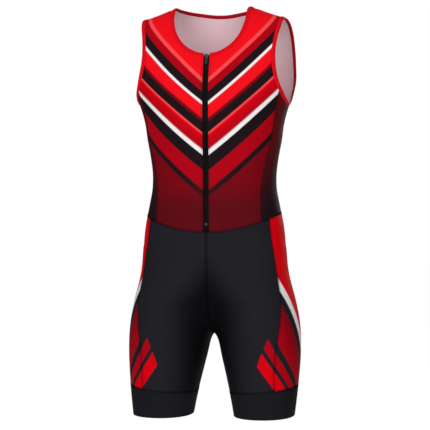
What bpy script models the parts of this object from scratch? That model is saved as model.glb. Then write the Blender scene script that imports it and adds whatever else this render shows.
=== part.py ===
"""Sleeveless rowing unisuit with a front zip and short legs, in metres, +Z up.

The suit keeps its worn form with nobody in it. Its front faces -Y and the wearer's
left is +X. The origin lies midway between the two shoulder seams, where it is held.
Every cloth piece is a thin wall laid on one smooth figure: a torso that rounds over
at the shoulders and under at the crotch, and two legs blended into it.
"""

import math

import bmesh
import bpy
import numpy as np
from mathutils import Matrix, Vector

# Cloth, seams and bindings
CLOTH = 0.0014
SEAM_GAP = 0.0003
BAND_RAISED = 0.0004
BAND_CLOTH = 0.0019
BINDING_WIDTH = 0.008
BINDING_RAISED = 0.0008
BINDING_DEPTH = 0.0023
BINDING_ROUND = 0.0007

# Zip
ZIP_HALF_GAP = 0.0064
TAPE_HALF_WIDTH = 0.0135
TAPE_CLOTH = 0.0010
TAPE_SUNK = 0.0019
TAPE_TOP_DROP = 0.0040

# Form of the figure
CENTRE_Y = 0.006
BACK_POWER = 2.4
LEG_POWER = 2.15
FRONT_SHOULDER_START = -0.20
BACK_SHOULDER_START = -0.16
CROTCH_ROUND_START = -0.540
CROTCH_ROUND_DROP = 0.134
FORK_BLEND = 0.008
HIP_BLEND = 0.030
LEG_TOP = -0.50
LEG_TOP_BLEND = 0.040

# Seam lines
WAIST_SIDE_Z = -0.429
WAIST_FRONT_DROP = 0.040
WAIST_BACK_RISE = 0.009
UPPER_FRONT_SEAM_ANGLE = 47.5
UPPER_BACK_SEAM_ANGLE = 128.0
SHORTS_FRONT_SEAM_ANGLE = 57.0
SHORTS_BACK_SEAM_ANGLE = 122.0
BAND_Z = -0.802
BAND_TILT = 0.007
HEM_Z = -0.859
HEM_FRONT_DROP = 0.004
INSIDE_OF_LEG = 270
BAND_FRONT_SEAM_ANGLE = 27.0
BAND_BACK_SEAM_ANGLE = 150.0
NECK_HALF_WIDTH = 0.077
NECK_DROP = 0.085
NECK_CENTRE_Z = -0.008

# Grid counts
SIDE_ROWS = 12
ARM_ROWS = 11
ZIP_ROWS = 14
BACK_ROWS = 17
FRONT_COLUMNS = 8
SIDE_COLUMNS = 7
RISE_ROWS = 13
INSEAM_ROWS = 7
LEG_COLUMNS = 8
BAND_ROWS = 3
FINE = 24

# Where a line starts before it settles on the figure
NECK_GUESS_Y = -0.08
ZIP_GUESS_Y = -0.09
FRONT_SEAM_GUESS_Y = -0.06
BACK_SEAM_GUESS_Y = 0.08
PROBE = 0.0001
TINY = 1e-9
SETTLE_STEPS = 10

MIRROR = np.array([-1.0, 1.0, 1.0])
FREE = np.ones(3)


def table(columns, rows):
    """A short table, read by the names of its columns."""
    return dict(zip(columns.split(), np.array(rows, dtype=float).T))


TORSO = table("z half_width front back front_power", [
    (0.020, 0.200, 0.080, 0.108, 2.9),
    (-0.060, 0.199, 0.087, 0.112, 3.0),
    (-0.100, 0.195, 0.094, 0.115, 3.1),
    (-0.136, 0.188, 0.103, 0.116, 3.1),
    (-0.170, 0.172, 0.108, 0.115, 3.0),
    (-0.203, 0.1580, 0.108, 0.112, 2.8),
    (-0.237, 0.1490, 0.107, 0.107, 2.6),
    (-0.272, 0.1442, 0.105, 0.101, 2.5),
    (-0.306, 0.1378, 0.102, 0.094, 2.5),
    (-0.345, 0.1330, 0.100, 0.087, 2.5),
    (-0.375, 0.1335, 0.100, 0.084, 2.5),
    (-0.409, 0.1395, 0.100, 0.087, 2.5),
    (-0.444, 0.1468, 0.099, 0.096, 2.5),
    (-0.478, 0.1512, 0.098, 0.106, 2.6),
    (-0.513, 0.1528, 0.097, 0.114, 2.7),
    (-0.547, 0.1525, 0.096, 0.118, 2.7),
    (-0.600, 0.1470, 0.094, 0.118, 2.7),
    (-0.680, 0.1300, 0.090, 0.105, 2.7),
])
LEG = table("z inner outer centre_y front back", [
    (-0.500, 0.030, 0.100, 0.006, 0.050, 0.060),
    (-0.560, 0.014, 0.150, 0.006, 0.084, 0.096),
    (-0.600, 0.006, 0.169, 0.006, 0.092, 0.108),
    (-0.640, 0.003, 0.1795, 0.006, 0.094, 0.108),
    (-0.680, 0.0055, 0.1850, 0.006, 0.094, 0.102),
    (-0.700, 0.0105, 0.1860, 0.005, 0.092, 0.099),
    (-0.735, 0.0182, 0.1857, 0.002, 0.087, 0.095),
    (-0.770, 0.0268, 0.1835, -0.001, 0.082, 0.090),
    (-0.805, 0.0350, 0.1803, -0.004, 0.078, 0.085),
    (-0.865, 0.0470, 0.1735, -0.008, 0.072, 0.078),
])
# Height of the shoulder line at each distance from the centre
SHOULDER = table("x z", [
    (0.000, 0.060),
    (0.040, 0.045),
    (0.065, 0.024),
    (0.082, 0.0118),
    (0.097, 0.0070),
    (0.113, 0.0008),
    (0.131, -0.0055),
    (0.1525, -0.0120),
    (0.200, -0.026),
])
# Open edge of the left armhole, from the shoulder down the front and up the back
ARMHOLE = table("x y z", [
    (0.1540, 0.006, -0.0135),
    (0.1505, -0.020, -0.0270),
    (0.1470, -0.050, -0.0520),
    (0.1455, -0.068, -0.0770),
    (0.1460, -0.078, -0.1020),
    (0.1485, -0.080, -0.1310),
    (0.1515, -0.068, -0.1580),
    (0.1540, -0.040, -0.1790),
    (0.1560, -0.006, -0.1890),
    (0.1600, 0.026, -0.1860),
    (0.1655, 0.052, -0.1660),
    (0.1670, 0.072, -0.1240),
    (0.1645, 0.068, -0.0750),
    (0.1600, 0.044, -0.0330),
])
ARMHOLE_FRONT_CORNER = 6.35
ARMHOLE_BACK_CORNER = 10.2
# Top of the neck opening, over the shoulder and round the back to the centre
NECK_TOP = table("x y z", [
    (0.0785, -0.034, 0.0062),
    (0.0800, 0.000, 0.0125),
    (0.0762, 0.032, 0.0125),
    (0.0590, 0.058, 0.0085),
    (0.0310, 0.074, 0.0040),
    (0.0000, 0.080, 0.0025),
])
NECK_ARC_ANGLES = (0, 20, 40, 60, 80)
NECK_SHOULDER_PLACE = 6.2
# Side seams, as their distance from the centre at each height
UPPER_FRONT_SEAM = table("x z", [(0.1115, -0.394), (0.1187, -0.330), (0.1320, -0.274), (0.1410, -0.2185)])
UPPER_BACK_SEAM = table("x z", [(0.1120, -0.380), (0.1150, -0.330), (0.1260, -0.280), (0.1440, -0.225)])
SHORTS_FRONT_SEAM = table("x z", [
    (0.1330, -0.480),
    (0.1440, -0.552),
    (0.1530, -0.610),
    (0.1540, -0.6465),
    (0.1500, -0.689),
    (0.1440, -0.730),
])
SHORTS_BACK_SEAM = table("x z", [
    (0.1340, -0.480),
    (0.1420, -0.552),
    (0.1480, -0.610),
    (0.1490, -0.6465),
    (0.1470, -0.689),
    (0.1420, -0.730),
])
# Seam between the legs, from the waist at the front, under, and up to the waist at the back
RISE = table("y z", [
    (-0.092, -0.520),
    (-0.088, -0.590),
    (-0.074, -0.642),
    (-0.042, -0.672),
    (0.002, -0.682),
    (0.050, -0.674),
    (0.092, -0.645),
    (0.116, -0.590),
    (0.121, -0.530),
    (0.106, -0.470),
])
RISE_CROTCH_ROW = 5
INSEAM = table("x y z", [(0.0105, 0.004, -0.700), (0.0182, 0.002, -0.735), (0.0268, -0.001, -0.770)])

# Slider, measured in its own frame: across, up along the zip, out from the cloth
SLIDER_Z = -0.0995
SLIDER_WIDTH = 0.0076
SLIDER_TOP = 0.0052
SLIDER_BOTTOM = -0.0058
SLIDER_PLATE_BACK = -0.0016
SLIDER_PLATE_FRONT = 0.0001
SLIDER_REAR_FRONT = -0.0032
SLIDER_REAR_BACK = -0.0044
SLIDER_BRIDGE = 0.0016
SLIDER_NOSE = 0.0008
SLIDER_TAIL_BEVEL = 0.0005
BAIL_UP = 0.0008
BAIL_OUT = 0.0026
BAIL_BAR = 0.0012
BAIL_INNER_HALF = 0.0019
BAIL_EAR = 0.0011
BAIL_FOOT = 0.0006
BAIL_BEVEL = 0.0004
EYE_HOLE_RADIUS = 0.0012
EYE_RADIUS = 0.0021
EYE_WIDTH = 0.0032
EYE_SIDES = 16
TAB_NECK_LENGTH = 0.0045
TAB_NECK_WIDTH = 0.0030
TAB_NECK_THICKNESS = 0.0014
TAB_LENGTH = 0.0145
TAB_WIDTH = 0.0056
TAB_THICKNESS = 0.0018
TAB_START = 0.0036
TAB_BEVEL = 0.0005
TAB_NECK_BEVEL = 0.0002
STOP_Z = -0.4525
STOP_SIZE = (0.0066, 0.0055, 0.0018)
END_TAB_Z = -0.4605
END_TAB_SIZE = (0.0104, 0.0090, 0.0012)
SEAT_GAP = 0.0003
SEAT_BEVEL = 0.0003
SMOOTH_ANGLE = math.radians(40)

# Colour, roughness and metallic value of each material
RED = ((0.80, 0.015, 0.025, 1.0), 0.55, 0.0)
DARK_RED = ((0.21, 0.010, 0.016, 1.0), 0.55, 0.0)
BLACK = ((0.013, 0.013, 0.016, 1.0), 0.60, 0.0)
BAND_BLACK = ((0.016, 0.015, 0.019, 1.0), 0.72, 0.0)
BINDING_RED = ((0.55, 0.010, 0.020, 1.0), 0.50, 0.0)
TAPE_BLACK = ((0.010, 0.010, 0.011, 1.0), 0.70, 0.0)
GUNMETAL = ((0.22, 0.22, 0.23, 1.0), 0.35, 1.0)
TAB_BLACK = ((0.018, 0.018, 0.020, 1.0), 0.45, 0.0)


def smooth_value(knots, values, at):
    """The value on a smooth curve through rising knots."""
    slopes = np.gradient(values, knots)
    at = np.clip(at, knots[0], knots[-1])
    span = np.clip(np.searchsorted(knots, at) - 1, 0, len(knots) - 2)
    width = knots[span + 1] - knots[span]
    t = (at - knots[span]) / width
    start = (1 + 2 * t) * (1 - t) ** 2 * values[span] + t * (1 - t) ** 2 * width * slopes[span]
    end = t * t * (3 - 2 * t) * values[span + 1] + t * t * (t - 1) * width * slopes[span + 1]
    return start + end


def at_height(sections, column, z):
    """A column of a top-to-bottom section table at any height."""
    return smooth_value(sections["z"][::-1], sections[column][::-1], z)


def torso(points):
    """Zero on the torso's surface, below zero inside."""
    x, y, z = np.moveaxis(points, -1, 0)
    in_front = y < CENTRE_Y
    power = np.where(in_front, at_height(TORSO, "front_power", z), BACK_POWER)
    depth = np.where(in_front, at_height(TORSO, "front", z), at_height(TORSO, "back", z))
    shoulder_start = np.where(in_front, FRONT_SHOULDER_START, BACK_SHOULDER_START)
    shoulder_top = smooth_value(SHOULDER["x"], SHOULDER["z"], abs(x))
    across = abs(x) / at_height(TORSO, "half_width", z)
    up = np.maximum(z - shoulder_start, 0) / (shoulder_top - shoulder_start)
    down = np.maximum(CROTCH_ROUND_START - z, 0) / CROTCH_ROUND_DROP
    shares = np.stack((1 - across ** power, 1 - up ** power, 1 - down ** power))
    lowest = shares.min(axis=0)
    section = np.where(lowest > 0, shares.prod(axis=0), lowest)
    return (abs(y - CENTRE_Y) / depth) ** power - section


def leg(points, side):
    """Zero on the surface of one leg, side +1 for the left and -1 for the right."""
    x, y, z = np.moveaxis(points, -1, 0)
    inner = at_height(LEG, "inner", z)
    outer = at_height(LEG, "outer", z)
    centre_y = at_height(LEG, "centre_y", z)
    depth = np.where(y < centre_y, at_height(LEG, "front", z), at_height(LEG, "back", z))
    across = abs(side * x - (outer + inner) / 2) / ((outer - inner) / 2)
    return across ** LEG_POWER + (abs(y - centre_y) / depth) ** LEG_POWER - 1


def gradient(field, points):
    """How a field changes along each axis."""
    slopes = []
    for axis in range(3):
        step = np.zeros(3)
        step[axis] = PROBE
        slopes.append((field(points + step) - field(points - step)) / (2 * PROBE))
    return np.stack(slopes, axis=-1)


def distance(field, points):
    """Rough distance from a field's surface, below zero inside."""
    return field(points) / (np.linalg.norm(gradient(field, points), axis=-1) + TINY)


def blend(first, second, width):
    """The union of two distances with a rounded valley between them."""
    share = np.clip(0.5 + 0.5 * (second - first) / width, 0, 1)
    return second * (1 - share) + first * share - width * share * (1 - share)


def figure(points):
    """Rough distance from the whole figure's surface."""
    legs = [
        -blend(-distance(lambda p, side=side: leg(p, side), points), LEG_TOP - points[..., 2], LEG_TOP_BLEND)
        for side in (1, -1)
    ]
    return blend(distance(torso, points), blend(legs[0], legs[1], FORK_BLEND), HIP_BLEND)


def settle(points, free=FREE):
    """Lays points on the figure, moving them only along the free axes."""
    points = np.array(points, dtype=float)
    for _ in range(SETTLE_STEPS):
        slope = gradient(figure, points) * free
        points -= (figure(points) / (slope ** 2).sum(axis=-1))[..., None] * slope
    return points


def unit(vectors):
    return vectors / np.linalg.norm(vectors, axis=-1, keepdims=True)


def outward(points):
    """The direction straight out of the figure."""
    return unit(gradient(figure, points))


def columns(named, *names):
    return np.stack([named[name] for name in names], axis=-1)


def through(points, closed=False):
    """A smooth curve through points, in small steps."""
    points = np.array(points, dtype=float)
    if closed:
        ends = (points[-1:], points, points[:2])
    else:
        ends = (2 * points[:1] - points[1:2], points, 2 * points[-1:] - points[-2:-1])
    knots = np.concatenate(ends)
    t = np.linspace(0, 1, FINE, endpoint=False)[:, None]
    spans = []
    for a, b, c, d in zip(knots, knots[1:], knots[2:], knots[3:]):
        spans.append(b + 0.5 * t * (c - a + t * (2 * a - 5 * b + 4 * c - d + t * (3 * (b - c) + d - a))))
    spans.append(knots[-2][None])
    return np.concatenate(spans)


def spread(curve, count, first=0.0, last=None):
    """Places on a curve, evenly spaced from the first to the last."""
    whole = np.arange(len(curve))
    last = len(curve) - 1 if last is None else last
    lengths = np.concatenate(([0.0], np.cumsum(np.linalg.norm(np.diff(curve, axis=0), axis=1))))
    ends = np.interp((first, last), whole, lengths)
    return np.interp(np.linspace(ends[0], ends[1], count + 1), lengths, whole)


def at(curve, places):
    """The points at places along a curve."""
    whole = np.arange(len(curve))
    return np.stack([np.interp(places, whole, curve[:, axis]) for axis in range(3)], axis=-1)


def evenly(curve, count):
    return at(curve, spread(curve, count))


def beside(curve, width, centre, closed=False):
    """The curve that runs beside another on the figure, on the side away from a centre."""
    if closed:
        tangent = np.roll(curve[:-1], -1, axis=0) - np.roll(curve[:-1], 1, axis=0)
        tangent = np.concatenate((tangent, tangent[:1]))
    else:
        tangent = np.gradient(curve, axis=0)
    sideways = unit(np.cross(outward(curve), tangent))
    sideways *= np.sign(((curve - centre) * sideways).sum())
    return settle(curve + width * sideways)


def patch(bottom, top, inner, outer):
    """A grid of points on the figure between four edge curves, row by row from the bottom."""
    u = np.linspace(0, 1, len(bottom))[None, :, None]
    v = np.linspace(0, 1, len(inner))[:, None, None]
    across = (1 - u) * inner[:, None] + u * outer[:, None]
    upward = (1 - v) * bottom[None] + v * top[None]
    corners = (1 - v) * ((1 - u) * bottom[0] + u * bottom[-1]) + v * ((1 - u) * top[0] + u * top[-1])
    grid = across + upward - corners
    grid[1:-1, 1:-1] = settle(grid[1:-1, 1:-1])
    return grid


def side_seam(named, lower, upper, guess_y, count):
    """A side seam from its lower end to its upper end, through its table's points."""
    middle = np.stack((named["x"], np.full(len(named["x"]), guess_y), named["z"]), axis=-1)
    middle = settle(middle, free=np.array([0.0, 1.0, 0.0]))
    curve = through(np.concatenate((lower[None], middle, upper[None])))
    points = settle(evenly(settle(curve), count))
    points[0] = lower
    points[-1] = upper
    return points


def waist_line():
    """The waist seam round the left half, one point a degree from front to back."""
    angle = np.radians(np.arange(181))
    ahead = np.cos(angle)
    rise = np.where(ahead > 0, -WAIST_FRONT_DROP, WAIST_BACK_RISE)
    z = WAIST_SIDE_Z + rise * ahead ** 2
    x = at_height(TORSO, "half_width", z) * np.sin(angle)
    y = CENTRE_Y - at_height(TORSO, "front", z) * ahead
    return settle(np.stack((x, y, z), axis=-1), free=np.array([1.0, 1.0, 0.0]))


def leg_ring(z, outer_rise, front_drop):
    """One turn round the left leg, a point a degree: front, outside, back, inside, front."""
    angle = np.radians(np.arange(361))
    inner = at_height(LEG, "inner", z)
    outer = at_height(LEG, "outer", z)
    radius = (outer - inner) / 2
    x = (outer + inner) / 2 + radius * np.sin(angle)
    y = at_height(LEG, "centre_y", z) - at_height(LEG, "front", z) * np.cos(angle)
    points = np.stack((x, y, z + outer_rise * np.sin(angle) - front_drop * np.cos(angle)), axis=-1)
    return settle(points, free=np.array([1.0, 1.0, 0.0]))


def trimmed(grid, ring):
    """A grid with its edges drawn in by half the seam gap."""
    grid = grid.copy()
    for edge, beyond in ((0, 1), (-1, -2)):
        grid[edge] += unit(grid[beyond] - grid[edge]) * SEAM_GAP / 2
        if not ring:
            grid[:, edge] += unit(grid[:, beyond] - grid[:, edge]) * SEAM_GAP / 2
    return grid


def material(name, look):
    colour, roughness, metallic = look
    made = bpy.data.materials.new(name)
    made.use_nodes = True
    shader = made.node_tree.nodes["Principled BSDF"]
    shader.inputs["Base Color"].default_value = colour
    shader.inputs["Roughness"].default_value = roughness
    shader.inputs["Metallic"].default_value = metallic
    return made


def add_object(name, mesh, look):
    mesh.shade_smooth()
    mesh.set_sharp_from_angle(angle=SMOOTH_ANGLE)
    mesh.materials.append(material(name, look))
    made = bpy.data.objects.new(name, mesh)
    bpy.context.scene.collection.objects.link(made)
    return made


def add_solid(name, points, faces, look):
    """A closed solid from points and faces, turned so that its faces point out."""
    mesh = bpy.data.meshes.new(name)
    mesh.from_pydata([tuple(point) for point in points], [], faces)
    shape = bmesh.new()
    shape.from_mesh(mesh)
    if shape.calc_volume(signed=True) < 0:
        bmesh.ops.reverse_faces(shape, faces=shape.faces)
    shape.to_mesh(mesh)
    shape.free()
    return add_object(name, mesh, look)


def wall(name, grid, look, raised=0.0, thickness=CLOTH, ring=False):
    """A cloth wall: the grid's points as its outer face, and the same moved in as its inner face."""
    grid = trimmed(grid, ring)
    normals = outward(grid)
    rows, across = grid.shape[:2]
    layers = np.stack((grid + raised * normals, grid + (raised - thickness) * normals))
    number = np.arange(layers[..., 0].size).reshape(2, rows, across)
    steps = across if ring else across - 1
    faces = []
    for row in range(rows - 1):
        for step in range(steps):
            following = (step + 1) % across
            for layer, order in ((0, 1), (1, -1)):
                quad = (number[layer, row, step], number[layer, row, following],
                        number[layer, row + 1, following], number[layer, row + 1, step])
                faces.append(quad[::order])
    for step in range(steps):
        following = (step + 1) % across
        faces.append((number[1, 0, step], number[1, 0, following], number[0, 0, following], number[0, 0, step]))
        faces.append((number[0, -1, step], number[0, -1, following],
                      number[1, -1, following], number[1, -1, step]))
    if not ring:
        for row in range(rows - 1):
            faces.append((number[0, row, 0], number[0, row + 1, 0], number[1, row + 1, 0], number[1, row, 0]))
            faces.append((number[1, row, -1], number[1, row + 1, -1],
                          number[0, row + 1, -1], number[0, row, -1]))
    faces = [tuple(int(corner) for corner in face) for face in faces]
    return add_solid(name, layers.reshape(-1, 3), faces, look)


def add_pair(name, grid, look, **sizes):
    """A left piece and its mirror image on the right."""
    wall(name + "_left", grid, look, **sizes)
    wall(name + "_right", grid * MIRROR, look, **sizes)


def binding(name, edge, inward, look, closed):
    """A folded strip over a cut edge, rounded at the lip, from the edge's points and inward directions."""
    normals = outward(edge)
    inner_side = BINDING_RAISED - BINDING_DEPTH
    profile = (
        (BINDING_WIDTH, BINDING_RAISED),
        (BINDING_ROUND, BINDING_RAISED),
        (0.0, BINDING_RAISED - BINDING_ROUND),
        (0.0, inner_side + BINDING_ROUND),
        (BINDING_ROUND, inner_side),
        (BINDING_WIDTH, inner_side),
    )
    points = np.stack([edge + along * inward + out * normals for along, out in profile], axis=1)
    count, sides = points.shape[:2]
    faces = []
    for place in range(count if closed else count - 1):
        following = (place + 1) % count
        for side in range(sides):
            beyond = (side + 1) % sides
            faces.append((place * sides + side, place * sides + beyond,
                          following * sides + beyond, following * sides + side))
    if not closed:
        faces.append(tuple(range(sides))[::-1])
        faces.append(tuple((count - 1) * sides + side for side in range(sides)))
    return add_solid(name, points.reshape(-1, 3), faces, look)


def centre_frame(z):
    """A frame on the centre front: across, up along the zip, out from the cloth."""
    origin = settle(np.array([0.0, ZIP_GUESS_Y, z]), free=np.array([0.0, 1.0, 0.0]))
    out = Vector(outward(origin))
    up = out.cross(Vector((1, 0, 0)))
    turn = Matrix((Vector((1, 0, 0)), up, out)).transposed().to_4x4()
    return Matrix.Translation(Vector(origin)) @ turn


def prism(name, outline, axis, low, high, look):
    """An outline in two directions, pulled along the third from low to high."""
    points = []
    for level in (low, high):
        for first, second in outline:
            place = [first, second]
            place.insert(axis, level)
            points.append(place)
    count = len(outline)
    faces = [tuple(range(count)), tuple(range(2 * count - 1, count - 1, -1))]
    for side in range(count):
        beyond = (side + 1) % count
        faces.append((side, count + side, count + beyond, beyond))
    return add_solid(name, points, faces, look)


def rounded_box(name, size, centre, bevel, look):
    shape = bmesh.new()
    scale = Matrix.Diagonal(Vector(size)).to_4x4()
    bmesh.ops.create_cube(shape, size=1.0, matrix=Matrix.Translation(centre) @ scale)
    bmesh.ops.bevel(shape, geom=shape.edges[:], offset=bevel, segments=2, affect="EDGES", profile=0.5)
    mesh = bpy.data.meshes.new(name)
    shape.to_mesh(mesh)
    shape.free()
    return add_object(name, mesh, look)


def combine(target, other, operation):
    """Joins or cuts a piece with a helper, which is then hidden."""
    change = target.modifiers.new(other.name, "BOOLEAN")
    change.operation = operation
    change.solver = "EXACT"
    change.object = other
    other.hide_render = True
    other.display_type = "WIRE"


def circle(radius, sides, centre=(0.0, 0.0)):
    turns = np.linspace(0, 2 * math.pi, sides, endpoint=False)
    return [(centre[0] + radius * math.cos(a), centre[1] + radius * math.sin(a)) for a in turns]


def build_slider():
    """The slider at the top of the zip, with a bail that the pull tab hangs from."""
    frame = centre_frame(SLIDER_Z)
    half = SLIDER_WIDTH / 2
    clip = [
        (SLIDER_BOTTOM, SLIDER_PLATE_FRONT - SLIDER_TAIL_BEVEL),
        (SLIDER_BOTTOM + SLIDER_NOSE, SLIDER_PLATE_FRONT),
        (SLIDER_TOP - SLIDER_NOSE, SLIDER_PLATE_FRONT),
        (SLIDER_TOP, SLIDER_PLATE_FRONT - SLIDER_NOSE),
        (SLIDER_TOP, SLIDER_REAR_BACK),
        (SLIDER_BOTTOM, SLIDER_REAR_BACK),
        (SLIDER_BOTTOM, SLIDER_REAR_FRONT),
        (SLIDER_TOP - SLIDER_BRIDGE, SLIDER_REAR_FRONT),
        (SLIDER_TOP - SLIDER_BRIDGE, SLIDER_PLATE_BACK),
        (SLIDER_BOTTOM, SLIDER_PLATE_BACK),
    ]
    body = prism("slider_body", clip, 0, -half, half, GUNMETAL)
    ear = BAIL_INNER_HALF + BAIL_EAR
    foot = SLIDER_PLATE_FRONT - BAIL_FOOT
    under = BAIL_OUT - BAIL_BAR / 2
    over = BAIL_OUT + BAIL_BAR / 2
    arch = [
        (-ear, foot),
        (-ear, over - BAIL_BEVEL),
        (-ear + BAIL_BEVEL, over),
        (ear - BAIL_BEVEL, over),
        (ear, over - BAIL_BEVEL),
        (ear, foot),
        (BAIL_INNER_HALF, foot),
        (BAIL_INNER_HALF, under),
        (-BAIL_INNER_HALF, under),
        (-BAIL_INNER_HALF, foot),
    ]
    bail = prism("bail_helper", arch, 1, BAIL_UP - BAIL_BAR / 2, BAIL_UP + BAIL_BAR / 2, GUNMETAL)
    combine(body, bail, "UNION")
    body.matrix_world = frame
    bail.matrix_world = frame

    hinge = frame @ Matrix.Translation((0, BAIL_UP, BAIL_OUT))
    eye = prism("pull_tab", circle(EYE_RADIUS, EYE_SIDES), 0, -EYE_WIDTH / 2, EYE_WIDTH / 2, TAB_BLACK)
    neck = rounded_box("tab_neck_helper", (TAB_NECK_WIDTH, TAB_NECK_LENGTH, TAB_NECK_THICKNESS),
                       (0, -EYE_HOLE_RADIUS - TAB_NECK_LENGTH / 2, 0), TAB_NECK_BEVEL, TAB_BLACK)
    plate = rounded_box("tab_plate_helper", (TAB_WIDTH, TAB_LENGTH, TAB_THICKNESS),
                        (0, -TAB_START - TAB_LENGTH / 2, 0), TAB_BEVEL, TAB_BLACK)
    hole = prism("eye_hole_helper", circle(EYE_HOLE_RADIUS, EYE_SIDES), 0, -EYE_WIDTH, EYE_WIDTH, TAB_BLACK)
    combine(eye, neck, "UNION")
    combine(eye, plate, "UNION")
    combine(eye, hole, "DIFFERENCE")
    for piece in (eye, neck, plate, hole):
        piece.matrix_world = hinge


def build_zip(zip_edge):
    """Two tapes behind the front panels' edges, with the stop and the end tab over their lower end."""
    x = np.array([SEAM_GAP / 2, ZIP_HALF_GAP, TAPE_HALF_WIDTH])
    rows = zip_edge.copy()
    rows[-1] += unit(rows[-2] - rows[-1]) * TAPE_TOP_DROP
    grid = np.repeat(rows[:, None], len(x), axis=1)
    grid[..., 0] = x
    grid = settle(grid, free=np.array([0.0, 1.0, 0.0]))
    add_pair("zip_tape", grid, TAPE_BLACK, raised=-TAPE_SUNK, thickness=TAPE_CLOTH)

    for name, z, size, look in (("zip_stop", STOP_Z, STOP_SIZE, TAB_BLACK),
                                ("zip_end_tab", END_TAB_Z, END_TAB_SIZE, BLACK)):
        seat = SEAT_GAP - TAPE_SUNK + size[2] / 2
        made = rounded_box(name, size, (0, 0, seat), SEAT_BEVEL, look)
        made.matrix_world = centre_frame(z)


def build_upper(waist):
    """The panels above the waist and the bindings round the neck and armholes."""
    open_edge = settle(through(columns(ARMHOLE, "x", "y", "z"), closed=True))
    centre = open_edge.mean(axis=0)
    sewn_edge = beside(open_edge, BINDING_WIDTH + SEAM_GAP / 2, centre, closed=True)
    corners = (ARMHOLE_FRONT_CORNER * FINE, ARMHOLE_BACK_CORNER * FINE)
    front_places = spread(sewn_edge, ARM_ROWS, 0, corners[0])
    bottom_places = spread(sewn_edge, SIDE_COLUMNS, *corners)
    back_places = spread(sewn_edge, ARM_ROWS, corners[1])
    front_arm = at(sewn_edge, front_places)[::-1]
    under_arm = at(sewn_edge, bottom_places)
    back_arm = at(sewn_edge, back_places)

    angles = np.radians(NECK_ARC_ANGLES)
    arc = np.stack((NECK_HALF_WIDTH * np.sin(angles), np.full(len(angles), NECK_GUESS_Y),
                    NECK_CENTRE_Z - NECK_DROP * np.cos(angles)), axis=-1)
    arc = settle(arc, free=np.array([0.0, 1.0, 0.0]))
    half_neck = np.concatenate((arc, columns(NECK_TOP, "x", "y", "z")))
    whole_neck = settle(through(np.concatenate((half_neck, half_neck[-2:0:-1] * MIRROR)), closed=True))
    sewn_neck = beside(whole_neck, BINDING_WIDTH + SEAM_GAP / 2, whole_neck.mean(axis=0), closed=True)
    shoulder_place = NECK_SHOULDER_PLACE * FINE
    back_place = (len(half_neck) - 1) * FINE
    zip_place = np.interp(ZIP_HALF_GAP, sewn_neck[:FINE, 0], np.arange(FINE))
    rows = SIDE_ROWS + ARM_ROWS
    neck_front_places = spread(sewn_neck, rows - ZIP_ROWS, zip_place, shoulder_place)
    neck_back_places = spread(sewn_neck, rows - BACK_ROWS, shoulder_place, back_place)
    neck_front = at(sewn_neck, neck_front_places)
    neck_back = at(sewn_neck, neck_back_places)[::-1]

    ridge = np.linspace(neck_front[-1], front_arm[-1], FRONT_COLUMNS + 1)
    ridge = settle(ridge, free=np.array([0.0, 0.0, 1.0]))
    shoulder = np.concatenate((neck_front[-1:], ridge[1:-1], front_arm[-1:]))

    near_zip = waist[:FINE, 0]
    zip_foot = np.interp(ZIP_HALF_GAP, near_zip, np.arange(FINE))
    zip_guess = np.linspace(at(waist, zip_foot), neck_front[0], ZIP_ROWS + 1)
    zip_guess[:, 0] = ZIP_HALF_GAP
    zip_edge = settle(zip_guess, free=np.array([0.0, 1.0, 0.0]))
    front_foot = at(waist, spread(waist, FRONT_COLUMNS, zip_foot, UPPER_FRONT_SEAM_ANGLE))
    side_foot = at(waist, spread(waist, SIDE_COLUMNS, UPPER_FRONT_SEAM_ANGLE, UPPER_BACK_SEAM_ANGLE))
    back_foot = at(waist, spread(waist, FRONT_COLUMNS, UPPER_BACK_SEAM_ANGLE, 180))[::-1]

    front_seam = side_seam(UPPER_FRONT_SEAM, front_foot[-1], front_arm[0], FRONT_SEAM_GUESS_Y, SIDE_ROWS)
    back_seam = side_seam(UPPER_BACK_SEAM, side_foot[-1], back_arm[0], BACK_SEAM_GUESS_Y, SIDE_ROWS)
    add_pair("front", patch(
        bottom=front_foot,
        top=shoulder,
        inner=np.concatenate((zip_edge, neck_front[1:])),
        outer=np.concatenate((front_seam, front_arm[1:])),
    ), RED)
    add_pair("side", patch(bottom=side_foot, top=under_arm, inner=front_seam, outer=back_seam), DARK_RED)
    centre_back = np.linspace(back_foot[0], neck_back[0], BACK_ROWS + 1)
    centre_back = settle(centre_back, free=np.array([0.0, 1.0, 0.0]))
    half_back = patch(
        bottom=back_foot,
        top=shoulder,
        inner=np.concatenate((centre_back, neck_back[1:])),
        outer=np.concatenate((back_seam, back_arm[1:])),
    )
    half_back[:BACK_ROWS + 1, 0, 0] = 0.0
    build_back(half_back)

    arm_places = np.concatenate((front_places, bottom_places[1:], back_places[1:-1]))
    arm_edge = at(open_edge, arm_places)
    arm_inward = unit(at(sewn_edge, arm_places) - arm_edge)
    binding("armhole_binding_left", arm_edge, arm_inward, BINDING_RED, closed=True)
    binding("armhole_binding_right", arm_edge * MIRROR, arm_inward * MIRROR, BINDING_RED, closed=True)

    neck_places = np.concatenate((neck_front_places, neck_back_places[1:]))
    half_edge = at(whole_neck, neck_places)
    half_inward = unit(at(sewn_neck, neck_places) - half_edge)
    half_edge[0, 0] = ZIP_HALF_GAP + SEAM_GAP / 2
    half_inward[0, 0] = 0.0
    neck_edge = np.concatenate((half_edge, half_edge[-2::-1] * MIRROR))
    neck_inward = np.concatenate((half_inward, half_inward[-2::-1] * MIRROR))
    binding("neck_binding", neck_edge, neck_inward, BINDING_RED, closed=False)
    build_zip(np.concatenate((zip_edge[:-1], half_edge[:1])))


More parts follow.
